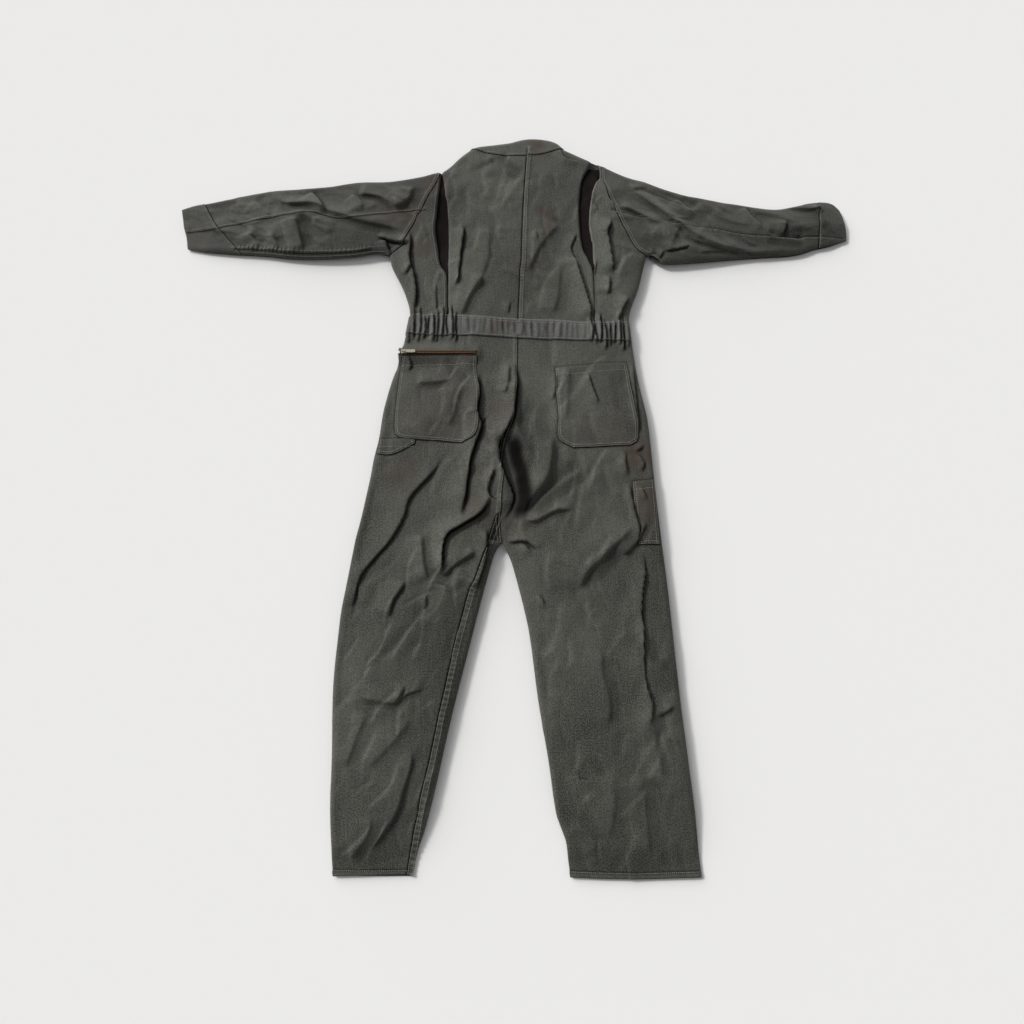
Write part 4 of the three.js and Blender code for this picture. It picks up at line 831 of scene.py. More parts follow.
# %% The weave group
def twill_group():
    """Diagonal ribs cut into floats, from flat coordinates in metres."""
    tree, given, result = group("twill weave", [("Flat", "Vector"), ("Ribs per metre", "Float")],
                                [("Height", "Float"), ("Thread", "Float")])
    split = tree.nodes.new("ShaderNodeSeparateXYZ")
    tree.links.new(given.outputs["Flat"], split.inputs[0])
    slope = math_node(tree, "MULTIPLY_ADD", split.outputs["Y"], 0.62, split.outputs["X"])
    turns = math_node(tree, "MULTIPLY", given.outputs["Ribs per metre"], 2 * math.pi)
    rib = math_node(tree, "SINE", math_node(tree, "MULTIPLY", slope, turns))
    cut = math_node(tree, "SINE", math_node(tree, "MULTIPLY", split.outputs["Y"], turns))
    both = math_node(tree, "MULTIPLY_ADD", cut, 0.35, rib)
    uneven = noise(tree, given.outputs["Flat"], 900, 2, (1, 0.15, 1))
    height = math_node(tree, "MULTIPLY_ADD", uneven, 0.5, math_node(tree, "MULTIPLY_ADD", both, 0.3, 0.4))
    tree.links.new(height, result.inputs["Height"])
    tree.links.new(math_node(tree, "MULTIPLY_ADD", both, 0.37, 0.5), result.inputs["Thread"])
    return tree


def fade_group():
    """Dyed cloth that has faded unevenly and shows its slubs."""
    inputs = [("Flat", "Vector"), ("Place", "Vector"), ("Dye", "Color"), ("Faded", "Color"),
              ("Thread", "Float")]
    tree, given, result = group("faded dye", inputs, [("Colour", "Color")])
    broad = noise(tree, given.outputs["Place"], 7, 4)
    slubs = noise(tree, given.outputs["Flat"], 9, 3, (38, 2.2, 1))
    fine = noise(tree, given.outputs["Flat"], 60, 3, (8, 1, 1))
    nap = noise(tree, given.outputs["Flat"], 430, 2, (1.3, 0.8, 1))
    large = math_node(tree, "MULTIPLY_ADD", broad, 1.5, math_node(tree, "MULTIPLY_ADD", slubs, 1.5, -1.0))
    small = math_node(tree, "MULTIPLY_ADD", fine, 1.0, math_node(tree, "MULTIPLY_ADD", nap, 6.6, -3.8))
    share = math_node(tree, "ADD", large, small)
    colour = mix_colour(tree, share, given.outputs["Dye"], given.outputs["Faded"])
    tint = math_node(tree, "MULTIPLY_ADD", given.outputs["Thread"], 0.16, 0.92)
    grey = tree.nodes.new("ShaderNodeCombineColor")
    feed(tree, grey.inputs, (tint, tint, tint))
    tree.links.new(mix_colour(tree, 1.0, colour, grey.outputs[0], "MULTIPLY"), result.inputs["Colour"])
    return tree


# The nearly black colour of the shade painted into folds, seams and hollows.
PAINTED_FOLD_SHADE = (0.006, 0.005, 0.005, 1)


def wear_and_shade_group():
    """Painted shade in the folds and seams, rubbed ridges that are partly a painted highlight, and brown
    stains over a colour.
    """
    inputs = [("Colour", "Color"), ("Place", "Vector"), ("Shade", "Float"), ("Wear", "Float"),
              ("Stain", "Float"), ("Rubbed", "Color"), ("Soiled", "Color")]
    tree, given, result = group("wear, stains and painted shade", inputs, [("Colour", "Color"), ("Rough", "Float")])
    grain = noise(tree, given.outputs["Place"], 160, 3)
    patchy = math_node(tree, "MULTIPLY_ADD", grain, 1.1, -0.1)
    rub_and_painted_light = math_node(tree, "MULTIPLY", given.outputs["Wear"], patchy)
    rubbed = mix_colour(tree, rub_and_painted_light, given.outputs["Colour"], given.outputs["Rubbed"])
    blot = noise(tree, given.outputs["Place"], 34, 4)
    blotchy = math_node(tree, "MULTIPLY_ADD", blot, 1.5, 0.1)
    soil = math_node(tree, "MULTIPLY", given.outputs["Stain"], blotchy)
    soiled = mix_colour(tree, soil, rubbed, given.outputs["Soiled"])
    # Painted shade: the colour goes nearly black as the shade number rises.
    deep = math_node(tree, "MULTIPLY", given.outputs["Shade"], 0.97)
    tree.links.new(mix_colour(tree, deep, soiled, PAINTED_FOLD_SHADE), result.inputs["Colour"])
    rough = math_node(tree, "MULTIPLY_ADD", grain, 0.14, 0.76)
    polish = math_node(tree, "MULTIPLY", rub_and_painted_light, 0.08)
    tree.links.new(math_node(tree, "SUBTRACT", rough, polish), result.inputs["Rough"])
    return tree


TWILL, FADE, WEAR_AND_SHADE = twill_group(), fade_group(), wear_and_shade_group()
print("shared effects:", TWILL.name, FADE.name, WEAR_AND_SHADE.name)


def use(tree, effect, **values):
    """Places a shared effect in a material; an underscore in a name stands for a space."""
    made = tree.nodes.new("ShaderNodeGroup")
    made.node_tree = effect
    feed(tree, [made.inputs[label.replace("_", " ")] for label in values], values.values())
    return made.outputs


# %% [markdown]
# ### Cloth finishes
#
# One function makes every cloth finish from its own colours and rib count: the suit's twill, the
# slightly darker sleeves, the paler waistband, the insides of the pleats painted nearly black as
# their shade, the brown zip tapes and the pale thread. Sheen stands for the cotton fuzz. Light hardly
# reaches into a closed fold, so sheen and gloss fade there with the painted shade number.

# %% Cloth materials
TWILL_RIBS, TAPE_RIBS, THREAD_RIBS = 1150, 1700, 2600  # in a metre
SOIL, FOLD_FADE, BUMP_DEEP = (0.050, 0.036, 0.028), 0.95, 0.0004


def cloth_finish(name, dye, faded, rubbed, ribs=TWILL_RIBS, bump=0.35, sheen=0.16, shine=0.25, folded=True):
    """A woven finish whose weave follows the flat pattern; in folded cloth its sheen and gloss fade where
    shade is painted in the folds.
    """
    made = bpy.data.materials.new(name)
    made.use_nodes = True
    tree = made.node_tree
    shader = tree.nodes["Principled BSDF"]
    flat = tree.nodes.new("ShaderNodeUVMap")
    flat.uv_map = "cloth"
    where = tree.nodes.new("ShaderNodeTexCoord")
    numbers = []
    for label in NUMBERS:
        reader = tree.nodes.new("ShaderNodeAttribute")
        reader.attribute_name = label
        numbers.append(reader.outputs["Fac"])
    weave = use(tree, TWILL, Flat=flat.outputs[0], Ribs_per_metre=ribs)
    dyed = use(tree, FADE, Flat=flat.outputs[0], Place=where.outputs["Object"], Dye=(*dye, 1),
               Faded=(*faded, 1), Thread=weave["Thread"])
    worn_and_shaded = use(tree, WEAR_AND_SHADE, Colour=dyed["Colour"], Place=where.outputs["Object"], Shade=numbers[0],
               Wear=numbers[1], Stain=numbers[2], Rubbed=(*rubbed, 1), Soiled=(*SOIL, 1))
    tree.links.new(worn_and_shaded["Colour"], shader.inputs["Base Color"])
    tree.links.new(worn_and_shaded["Rough"], shader.inputs["Roughness"])
    relief = tree.nodes.new("ShaderNodeBump")
    relief.inputs["Strength"].default_value = bump
    relief.inputs["Distance"].default_value = BUMP_DEEP
    tree.links.new(weave["Height"], relief.inputs["Height"])
    tree.links.new(relief.outputs[0], shader.inputs["Normal"])
    # Painted shade: in folded cloth sheen and gloss drop with the shade number.
    for label, value in (("Sheen Weight", sheen), ("Specular IOR Level", shine)):
        shader.inputs[label].default_value = value
        if folded and value:
            fading = math_node(tree, "MULTIPLY_ADD", numbers[0], -FOLD_FADE * value, value)
            tree.links.new(fading, shader.inputs[label])
    shader.inputs["Sheen Roughness"].default_value = 0.45
    return made


SUIT_TWILL = cloth_finish("suit twill", (0.018, 0.019, 0.0155), (0.069, 0.070, 0.059),
                          (0.135, 0.136, 0.119))
SLEEVE_TWILL = cloth_finish("sleeve twill", (0.013, 0.014, 0.011), (0.052, 0.053, 0.044),
                            (0.110, 0.111, 0.096))
BAND_TWILL = cloth_finish("waistband twill", (0.040, 0.040, 0.037), (0.098, 0.098, 0.092),
                          (0.140, 0.140, 0.130))
POCKET_TWILL = cloth_finish("pocket twill", (0.018, 0.018, 0.0145), (0.070, 0.070, 0.060),
                            (0.125, 0.125, 0.110))
# Nearly black twill, painted shade: the insides of the action pleats, and the pocket bags and elastic strips
# that lie under other cloth.
SHADE_BLACK_TWILL = cloth_finish("painted shade twill", (0.0035, 0.0028, 0.0025), (0.009, 0.0066, 0.006),
                            (0.03, 0.022, 0.02), sheen=0, shine=0.05)
TAPE_WEAVE = cloth_finish("zip tape weave", (0.026, 0.015, 0.010), (0.050, 0.030, 0.020),
                          (0.12, 0.08, 0.06), TAPE_RIBS, bump=0.5)
THREAD = cloth_finish("sewing thread", (0.120, 0.120, 0.104), (0.240, 0.238, 0.212),
                      (0.340, 0.336, 0.304), THREAD_RIBS, bump=0.3, folded=False)
CLOTHS = (SUIT_TWILL, SLEEVE_TWILL, BAND_TWILL, POCKET_TWILL, SHADE_BLACK_TWILL, TAPE_WEAVE, THREAD)
print("cloth finishes:", [made.name for made in CLOTHS])

# %% [markdown]
# ### Brass
#
# The zips are brass that has dulled in the wash: brown in the hollows, brighter where it is
# rubbed. The pattern is on Object coordinates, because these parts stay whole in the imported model.

# %% Brass material
def brass_finish(name, bright, dull):
    """Old brass with tarnish and fine scratches."""
    made = bpy.data.materials.new(name)
    made.use_nodes = True
    tree = made.node_tree
    shader = tree.nodes["Principled BSDF"]
    where = tree.nodes.new("ShaderNodeTexCoord").outputs["Object"]
    tarnish = noise(tree, where, 420, 4)
    scratch = noise(tree, where, 900, 3, (1, 9, 1))
    share = math_node(tree, "MULTIPLY_ADD", tarnish, 1.6, -0.35)
    tree.links.new(mix_colour(tree, share, (*dull, 1), (*bright, 1)), shader.inputs["Base Color"])
    rough = math_node(tree, "MULTIPLY_ADD", scratch, 0.3, 0.24)
    tree.links.new(rough, shader.inputs["Roughness"])
    shader.inputs["Metallic"].default_value = 0.9
    relief = tree.nodes.new("ShaderNodeBump")
    relief.inputs["Strength"].default_value = 0.25
    relief.inputs["Distance"].default_value = 0.0002
    tree.links.new(scratch, relief.inputs["Height"])
    tree.links.new(relief.outputs[0], shader.inputs["Normal"])
    return made


BRASS = brass_finish("zip brass", (0.20, 0.125, 0.075), (0.05, 0.030, 0.019))
STEEL = brass_finish("worn nickel pull", (0.62, 0.58, 0.50), (0.24, 0.21, 0.17))
print("metal finishes:", BRASS.name, STEEL.name)

# %% [markdown]
# ## The back of the suit
#
# These panels lie on top and show: the back with its centre seam, the two side backs beside the
# action pleats, the collar stand, the waistband and its elastic casings, and the legs.

# %% Joined edges
SIDE_BACK_LEFT_EDGE = join(part_of(SIDE_LEFT, 1, 340, 498), ARMHOLE_LEFT)
SIDE_BACK_RIGHT_EDGE = join(part_of(SIDE_RIGHT, 1, 322, 496), ARMHOLE_RIGHT)
BACK_HEM = WAIST_TOP - [0, 5]
SEAT_TOP = WAIST_BOTTOM + [0, 5]
PLEAT_TUCKS = [(PLEAT_EDGE_LEFT, 5, 4), (PLEAT_EDGE_RIGHT, 5, 4)]
FLAP_TUCKS = [(PLEAT_FLAP_LEFT, 5, 4), (PLEAT_FLAP_RIGHT, 4, 2.5)]

# %% Upper body panels
NECK_LEFT, NECK_RIGHT = part_of(NECK_SEAM, 0, -100, 36), part_of(NECK_SEAM, 0, 36, 126)
BACK_SEAM_UP = part_of(BACK_SEAM, 1, 327, 766)
sheet("back_panel_left", part_of(BACK_HEM, 0, -145, 14), NECK_LEFT, join(PLEAT_EDGE_LEFT, SHOULDER_LEFT),
      BACK_SEAM_UP, SUIT_TWILL, ["back_panel_left"], tuck=PLEAT_TUCKS, curls=(True, False, False, False),
      rests=["front_panel_left"])
sheet("back_panel_right", part_of(BACK_HEM, 0, 14, 187), NECK_RIGHT, BACK_SEAM_UP,
      join(PLEAT_EDGE_RIGHT, line_to((168, 769), (126, 792))), SUIT_TWILL, ["back_panel_right"],
      tuck=PLEAT_TUCKS, curls=(False, True, False, False), rests=["front_panel_right"])
sheet("side_back_left", part_of(BACK_HEM, 0, -236, -147), line_to((-172, 725), (-169, 725)),
      SIDE_BACK_LEFT_EDGE, PLEAT_FLAP_LEFT, SUIT_TWILL, ["side_back_left"], tuck=FLAP_TUCKS,
      curls=(True, True, False, False), rests=["front_panel_left"])
sheet("side_back_right", part_of(BACK_HEM, 0, 187, 269), line_to((206, 750), (218, 744)),
      PLEAT_FLAP_RIGHT, SIDE_BACK_RIGHT_EDGE, SUIT_TWILL, ["side_back_right"], tuck=FLAP_TUCKS,
      rubbed=[PLEAT_FLAP_RIGHT], curls=(True, True, False, False), rests=["front_panel_right"])

# %% Cloth folded in behind the action pleats, and the collar
PLEAT_REACH, PLEAT_DROP = np.array([16.0, 0.0]), -8.5
LEFT_PLEAT_Y, RIGHT_PLEAT_Y = (341, 722), (320, 738)
COLLAR_ENDS = line_to((-100, 791), (-100, 792.5)), line_to((126, 791), (126, 792.5))
# The pleat insides are painted nearly black, as the shade in the pleat gaps.
sheet("action_pleat_left", line_to((-166, 341), (-128, 339)), line_to((-186, 722), (-152, 722)),
      part_of(PLEAT_FLAP_LEFT, 1, *LEFT_PLEAT_Y) - PLEAT_REACH,
      part_of(PLEAT_EDGE_LEFT, 1, *LEFT_PLEAT_Y) + PLEAT_REACH,
      SHADE_BLACK_TWILL, ["action_pleat_left"], lift=PLEAT_DROP, step=6)
sheet("action_pleat_right", line_to((170, 320), (203, 320)), line_to((168, 738), (214, 738)),
      part_of(PLEAT_EDGE_RIGHT, 1, *RIGHT_PLEAT_Y) - PLEAT_REACH,
      part_of(PLEAT_FLAP_RIGHT, 1, *RIGHT_PLEAT_Y) + PLEAT_REACH * 0.8,
      SHADE_BLACK_TWILL, ["action_pleat_right"], lift=PLEAT_DROP, step=6)
sheet("collar_outer", NECK_SEAM, COLLAR_TOP, *COLLAR_ENDS, SUIT_TWILL, ["collar_outer"], lift=0.6,
      curls=(False, False, False, True))

# %% Waistband and casings
BAND_LIFT, GATHERED = 1.9, 1.45
sheet("elastic_casing_left", part_of(WAIST_BOTTOM, 0, -243, -110), part_of(WAIST_TOP, 0, -236, -110),
      part_of(SIDE_LEFT, 1, 298, 345), line_to((-110, 288), (-110, 338)), BAND_TWILL,
      ["elastic_casing_left"], lift=BAND_LIFT, step=2.4, curls=(True, False, False, False), thickness=1.8,
      fullness=GATHERED)
sheet("waistband_back", part_of(WAIST_BOTTOM, 0, -112, 174), part_of(WAIST_TOP, 0, -112, 172),
      line_to((-112, 288), (-112, 338)), line_to((174, 273), (172, 319)), BAND_TWILL,
      ["waistband_back"], lift=BAND_LIFT + 0.5, step=3, thickness=1.8)
sheet("elastic_casing_right", part_of(WAIST_BOTTOM, 0, 172, 272), part_of(WAIST_TOP, 0, 170, 269),
      line_to((172, 273), (170, 319)), part_of(SIDE_RIGHT, 1, 277, 325), BAND_TWILL,
      ["elastic_casing_right"], lift=BAND_LIFT, step=2.4, curls=(False, True, False, False), thickness=1.8,
      fullness=GATHERED)
for side_name, x0, x1, y0, y1 in (("left", -226, -118, 297, 334), ("right", 180, 262, 283, 314)):
    sheet(f"elastic_strip_{side_name}", line_to((x0, y0), (x1, y0)), line_to((x0, y1), (x1, y1)),
          line_to((x0, y0), (x0, y1)), line_to((x1, y0), (x1, y1)), SHADE_BLACK_TWILL,
          [f"elastic_strip_{side_name}"], "elastic", lift=-3.0, step=5, fullness=GATHERED)

# %% Legs from behind
sheet("leg_back_left", line_to((-339, -827), (-201, -827)), part_of(SEAT_TOP, 0, -243, 13),
      part_of(SIDE_LEFT, 1, -827, 302), join(INSEAM_LEFT, part_of(SEAT_SEAM, 1, -119, 281)), SUIT_TWILL,
      ["leg_back_left"], curls=(True, False, False, False), rests=["leg_front_left"])
sheet("leg_back_right", HEM_RIGHT, part_of(SEAT_TOP, 0, 13, 272), join(INNER_RIGHT, SEAT_SEAM),
      part_of(SIDE_RIGHT, 1, -829, 281), SUIT_TWILL, ["leg_back_right"], curls=(True, True, False, False),
      rests=["leg_front_right"])
sheet("leg_front_left_turn", line_to((-201, -827), (-190, -827)), line_to((-49, -176), (-24, -188)),
      INSEAM_LEFT[INSEAM_LEFT[:, 1] < -176], INNER_LEFT, SUIT_TWILL, [],
      curls=(False, True, False, False), lift=-1.4, rests=["leg_front_left"])

# %% [markdown]
# ## Sleeves and cuffs
#
# Each sleeve is cut in two, a top sleeve towards the shoulder and an under sleeve towards the
# side, and the seam between them shows along its length. Its cloth runs along the arm, so the
# pattern is turned a quarter for the weave.

# %% Sleeves from behind
sheet("top_sleeve_left", part_of(SLEEVE_SEAM_LEFT, 0, -696, -207), part_of(SLEEVE_LEFT_TOP, 0, -736, -171),
      part_of(CUFF_JOIN_LEFT, 1, 578, 645), part_of(ARMHOLE_LEFT, 1, 620, 725), SLEEVE_TWILL,
      ["top_sleeve_left"], turn=True, curls=(False, False, False, True), rests=["front_sleeve_left"])
sheet("under_sleeve_left", part_of(SLEEVE_LEFT_LOW, 0, -638, -286),
      part_of(SLEEVE_SEAM_LEFT, 0, -696, -207), part_of(CUFF_JOIN_LEFT, 1, 507, 578),
      part_of(ARMHOLE_LEFT, 1, 499, 620), SLEEVE_TWILL,
      ["under_sleeve_left"], turn=True, curls=(False, False, True, False), rests=["front_sleeve_left"])
sheet("cuff_back_left", part_of(SLEEVE_LEFT_LOW, 0, -765, -638), part_of(SLEEVE_LEFT_TOP, 0, -791, -736),
      CUFF_END_LEFT, CUFF_JOIN_LEFT, SLEEVE_TWILL, ["cuff_back_left"], turn=True, lift=0.5,
      curls=(False, False, True, True), thickness=1.6, rests=["cuff_front_left"])
sheet("top_sleeve_right", part_of(SLEEVE_SEAM_RIGHT, 0, 235, 724), part_of(SLEEVE_RIGHT_TOP, 0, 218, 734),
      part_of(ARMHOLE_RIGHT, 1, 615, 744), part_of(CUFF_JOIN_RIGHT, 1, 552, 648), SLEEVE_TWILL,
      ["top_sleeve_right"], turn=True, curls=(False, False, False, True), rests=["front_sleeve_right"])
sheet("under_sleeve_right", part_of(SLEEVE_RIGHT_LOW, 0, 314, 723), part_of(SLEEVE_SEAM_RIGHT, 0, 235, 724),
      part_of(ARMHOLE_RIGHT, 1, 497, 615), part_of(CUFF_JOIN_RIGHT, 1, 524, 552), SLEEVE_TWILL,
      ["under_sleeve_right"], turn=True, curls=(False, False, True, False), rests=["front_sleeve_right"])
sheet("cuff_back_right", part_of(SLEEVE_RIGHT_LOW, 0, 723, 792), part_of(SLEEVE_RIGHT_TOP, 0, 734, 784),
      CUFF_JOIN_RIGHT, CUFF_END_RIGHT, SLEEVE_TWILL, ["cuff_back_right"], turn=True, lift=0.5,
      curls=(False, False, True, True), thickness=1.6, rests=["cuff_front_right"])

# %% [markdown]
# ## Pockets, tool loop and zip on the back
#
# The patch pockets are sheets of their own that lie on the seat. Their places come from the
# packed boxes, as shares of each box, because the real ones have slipped a little out of square.
# A border that dips to the cloth below makes the sewn edge.

# %% Patches
POCKET_LIFT, POCKET_CROWN = 2.4, 1.6


def patch_lift(border):
    """How far a patch stands off the cloth: full inside, and thin at its sewn edge."""
    def lift(x, y):
        edge = distance_to(border, x, y, 40)
        return POCKET_LIFT * (0.5 + 0.5 * ease(edge / 4)) + POCKET_CROWN * ease(edge / 30)

    return lift


for name, (low, high, left, right) in POCKETS.items():
    leg = "leg_back_left" if low[0, 0] < 0 else "leg_back_right"
    sheet(name, low, high, left, right, POCKET_TWILL, [name], lift=patch_lift((low, left, right)), step=3.0,
          thickness=1.2, rubbed=(low, left, right, high), rests=[leg])

# %% [markdown]
# ## The front of the suit
#
# The front lies underneath and only shows when the suit is looked at from below. It is drawn from
# the same outline with a coarser grid.

# %% Front panels
CENTRE = (node_box("zip_guard")[0][0] + node_box("zip_guard")[1][0]) / 2
ZIP_GAP, ZIP_FOOT = 5.0, node_box("front_zip_tape_left")[0][1]
FLY_LEFT, FLY_RIGHT = CENTRE - ZIP_GAP, CENTRE + ZIP_GAP
RISE = part_of(SEAT_SEAM, 1, -170, ZIP_FOOT - 14)
FRONT_NECK = 723.0
BODY_CURLS = (True, True, False, False)
sheet("leg_front_left", HEM_LEFT, part_of(SEAT_TOP, 0, -243, FLY_LEFT), part_of(SIDE_LEFT, 1, -827, 302),
      join(INNER_LEFT, RISE, line_to((FLY_LEFT, ZIP_FOOT), (FLY_LEFT, 287))), SUIT_TWILL,
      ["leg_front_left"], below=True, curls=BODY_CURLS)
sheet("leg_front_right", HEM_RIGHT, part_of(SEAT_TOP, 0, FLY_RIGHT, 272),
      join(INNER_RIGHT, RISE, line_to((FLY_RIGHT, ZIP_FOOT), (FLY_RIGHT, 287))),
      part_of(SIDE_RIGHT, 1, -829, 281), SUIT_TWILL, ["leg_front_right"], below=True, curls=BODY_CURLS)
sheet("front_panel_left", part_of(BACK_HEM, 0, -236, FLY_LEFT),
      join(SHOULDER_LEFT, curve([(-100, 792), (-60, 748), (FLY_LEFT, FRONT_NECK)])[1:]),
      SIDE_BACK_LEFT_EDGE, line_to((FLY_LEFT, 326), (FLY_LEFT, FRONT_NECK)), SUIT_TWILL,
      ["front_panel_left"], below=True, curls=(True, False, False, True))
sheet("front_panel_right", part_of(BACK_HEM, 0, FLY_RIGHT, 269),
      join(curve([(FLY_RIGHT, FRONT_NECK), (85, 748), (126, 792)]), SHOULDER_RIGHT[1:]),
      line_to((FLY_RIGHT, 326), (FLY_RIGHT, FRONT_NECK)), SIDE_BACK_RIGHT_EDGE, SUIT_TWILL,
      ["front_panel_right"], below=True, curls=(False, True, False, True))
sheet("collar_inner", NECK_SEAM, COLLAR_TOP, *COLLAR_ENDS, SUIT_TWILL, ["collar_inner"], below=True, step=5,
      curls=(False, False, False, True))
for side_name, x0, x1 in (("left", -243, FLY_LEFT), ("right", FLY_RIGHT, 272)):
    low, high = part_of(WAIST_BOTTOM, 0, x0, x1), part_of(WAIST_TOP, 0, max(x0, -236), min(x1, 269))
    sheet(f"waistband_front_{side_name}", low, high, line_to(low[0], high[0]), line_to(low[-1], high[-1]),
          BAND_TWILL, [f"waistband_front_{side_name}"], below=True, lift=-1.4, step=5, thickness=1.8)
ARM_CURLS = (False, False, True, True)
sheet("front_sleeve_left", part_of(SLEEVE_LEFT_LOW, 0, -638, -286), part_of(SLEEVE_LEFT_TOP, 0, -736, -171),
      CUFF_JOIN_LEFT, ARMHOLE_LEFT, SLEEVE_TWILL, ["front_sleeve_left"], below=True, turn=True,
      curls=ARM_CURLS)
sheet("front_sleeve_right", part_of(SLEEVE_RIGHT_LOW, 0, 314, 723), part_of(SLEEVE_RIGHT_TOP, 0, 218, 734),
      ARMHOLE_RIGHT, CUFF_JOIN_RIGHT, SLEEVE_TWILL, ["front_sleeve_right"], below=True, turn=True,
      curls=ARM_CURLS)
sheet("cuff_front_left", part_of(SLEEVE_LEFT_LOW, 0, -765, -638), part_of(SLEEVE_LEFT_TOP, 0, -791, -736),
      CUFF_END_LEFT, CUFF_JOIN_LEFT, SLEEVE_TWILL, ["cuff_front_left"], below=True, turn=True,
      curls=ARM_CURLS, lift=-0.4, thickness=1.6)
sheet("cuff_front_right", part_of(SLEEVE_RIGHT_LOW, 0, 723, 792), part_of(SLEEVE_RIGHT_TOP, 0, 734, 784),
      CUFF_JOIN_RIGHT, CUFF_END_RIGHT, SLEEVE_TWILL, ["cuff_front_right"], below=True, turn=True,
      curls=ARM_CURLS, lift=-0.4, thickness=1.6)


# %% Front pockets, bags and zip parts
def boxed_sheet(name, material, slot, below, lift, step, thickness=CLOTH):
    """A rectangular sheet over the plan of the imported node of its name, on the upper or the lower layer."""
    lo, hi = node_box(name)
    a, b, c, d = (lo[0], lo[1]), (hi[0], lo[1]), (hi[0], hi[1]), (lo[0], hi[1])
    sheet(name, line_to(a, b), line_to(d, c), line_to(a, d), line_to(b, c), material, [name], slot,
          below=below, lift=lift, step=step, thickness=thickness)


TAPE_THICK = 0.8
for side_name in ("left", "right"):
    boxed_sheet(f"chest_pocket_{side_name}", POCKET_TWILL, "cloth", True, -3.6, 6)
    boxed_sheet(f"side_pocket_bag_{side_name}", SHADE_BLACK_TWILL, "lining", True, 4.6, 10)
    boxed_sheet(f"front_zip_tape_{side_name}", TAPE_WEAVE, "zip_tape", True, 2.4, 5, TAPE_THICK)
boxed_sheet("zip_guard", SLEEVE_TWILL, "cloth", True, 3.0, 9)


def tape_lift(x, y):
    """The rear tapes show beside the teeth and slip under the cloth further out."""
    return 2.0 - 4.0 * ease((np.abs(y - ZIP_Y) - 4) / 2.5)


for level in ("lower", "upper"):
    boxed_sheet(f"rear_zip_tape_{level}", TAPE_WEAVE, "zip_tape", False, tape_lift, 2.5, TAPE_THICK)

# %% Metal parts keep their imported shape
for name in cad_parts:
    if any(word in name for word in ("teeth", "stop", "slider", "pull")):
        metal = bpy.data.objects[name]
        metal.data.materials.clear()
        metal.data.materials.append(STEEL if "pull" in name or "slider" in name else BRASS)

# %% [markdown]
# ## Stitching
#
# Rows of thread run beside every seam. A row is a chain of small spindles that follow the lying
# surface, half sunk in it. Each spindle has twelve faces, because there are thousands of them.

# %% Thread rows
STITCH_LONG, STITCH_PITCH, STITCH_WIDE, STITCH_HIGH = 2.9, 3.9, 0.62, 0.5
AROUND, SHOULDER, SUNK = ((1, 0), (0, 1), (-1, 0), (0, -1)), 0.45, 0.12
SPINDLE = np.array([(-1, 0, 0), *[(-SHOULDER, *side) for side in AROUND],
                    *[(SHOULDER, *side) for side in AROUND], (1, 0, 0)], float)
SPINDLE_TIPS = [(0, 1 + (k + 1) % 4, 1 + k) for k in range(4)]
SPINDLE_TIPS += [(9, 5 + k, 5 + (k + 1) % 4) for k in range(4)]
SPINDLE_WALLS = [(1 + k, 1 + (k + 1) % 4, 5 + (k + 1) % 4, 5 + k) for k in range(4)]


def row_of_thread(line, aside, lift):
    """The places of the spindles of one row beside a line."""
    line = np.asarray(line, float)
    long = np.hypot(*np.diff(line, axis=0).T).sum()
    count = max(2, int(long / STITCH_PITCH))
    middle = (np.arange(count) + 0.5) * STITCH_PITCH / long
    half = STITCH_LONG / 2 / long
    a, b = along(line, middle - half), along(line, middle + half)
    way = b - a
    left = np.stack([-way[:, 1], way[:, 0]], 1) / np.hypot(*way.T)[:, None]
    a, b = a + left * aside, b + left * aside
    c = (a + b) / 2 + left * 0.6
    raise_by = lift(c[:, 0], c[:, 1]) if callable(lift) else lift
    ends = [upper(*p.T)[0] + np.array([0, 0, 1]) * np.reshape(raise_by, (-1, 1)) for p in (a, b, c)]
    ahead = ends[1] - ends[0]
    span = np.linalg.norm(ahead, axis=1, keepdims=True)
    ahead /= span
    out = np.cross(ahead, ends[2] - (ends[0] + ends[1]) / 2)
    out /= np.linalg.norm(out, axis=1, keepdims=True) + 1e-9
    across = np.cross(out, ahead)
    centre = (ends[0] + ends[1]) / 2 + out * SUNK
    half_long = np.minimum(span, 1.5 * STITCH_LONG) / 2
    spots = (centre[:, None] + SPINDLE[None, :, :1] * (ahead * half_long)[:, None]
             + SPINDLE[None, :, 1:2] * (across * STITCH_WIDE)[:, None]
             + SPINDLE[None, :, 2:] * (out * STITCH_HIGH)[:, None])
    return spots.reshape(-1, 3)


def stitching(name, rows):
    """One piece with all the rows of thread that belong to a panel."""
    spots = np.vstack([row_of_thread(*row) for row in rows])
    count = len(spots) // len(SPINDLE)
    start = np.arange(count)[:, None, None] * len(SPINDLE)
    faces = (start + np.array(SPINDLE_TIPS)).reshape(-1, 3).tolist()
    faces += (start + np.array(SPINDLE_WALLS)).reshape(-1, 4).tolist()
    piece = put_mesh(name, spots, faces, THREAD, spots[:, :2], np.tile([0.0, 0.5, 0.0], (len(spots), 1)))
    print(f"{name}: {count} stitches")
    return piece


def double(line, near_seam, far):
    """Two rows beside a seam line."""
    return [(line, near_seam, 0), (line, far, 0)]


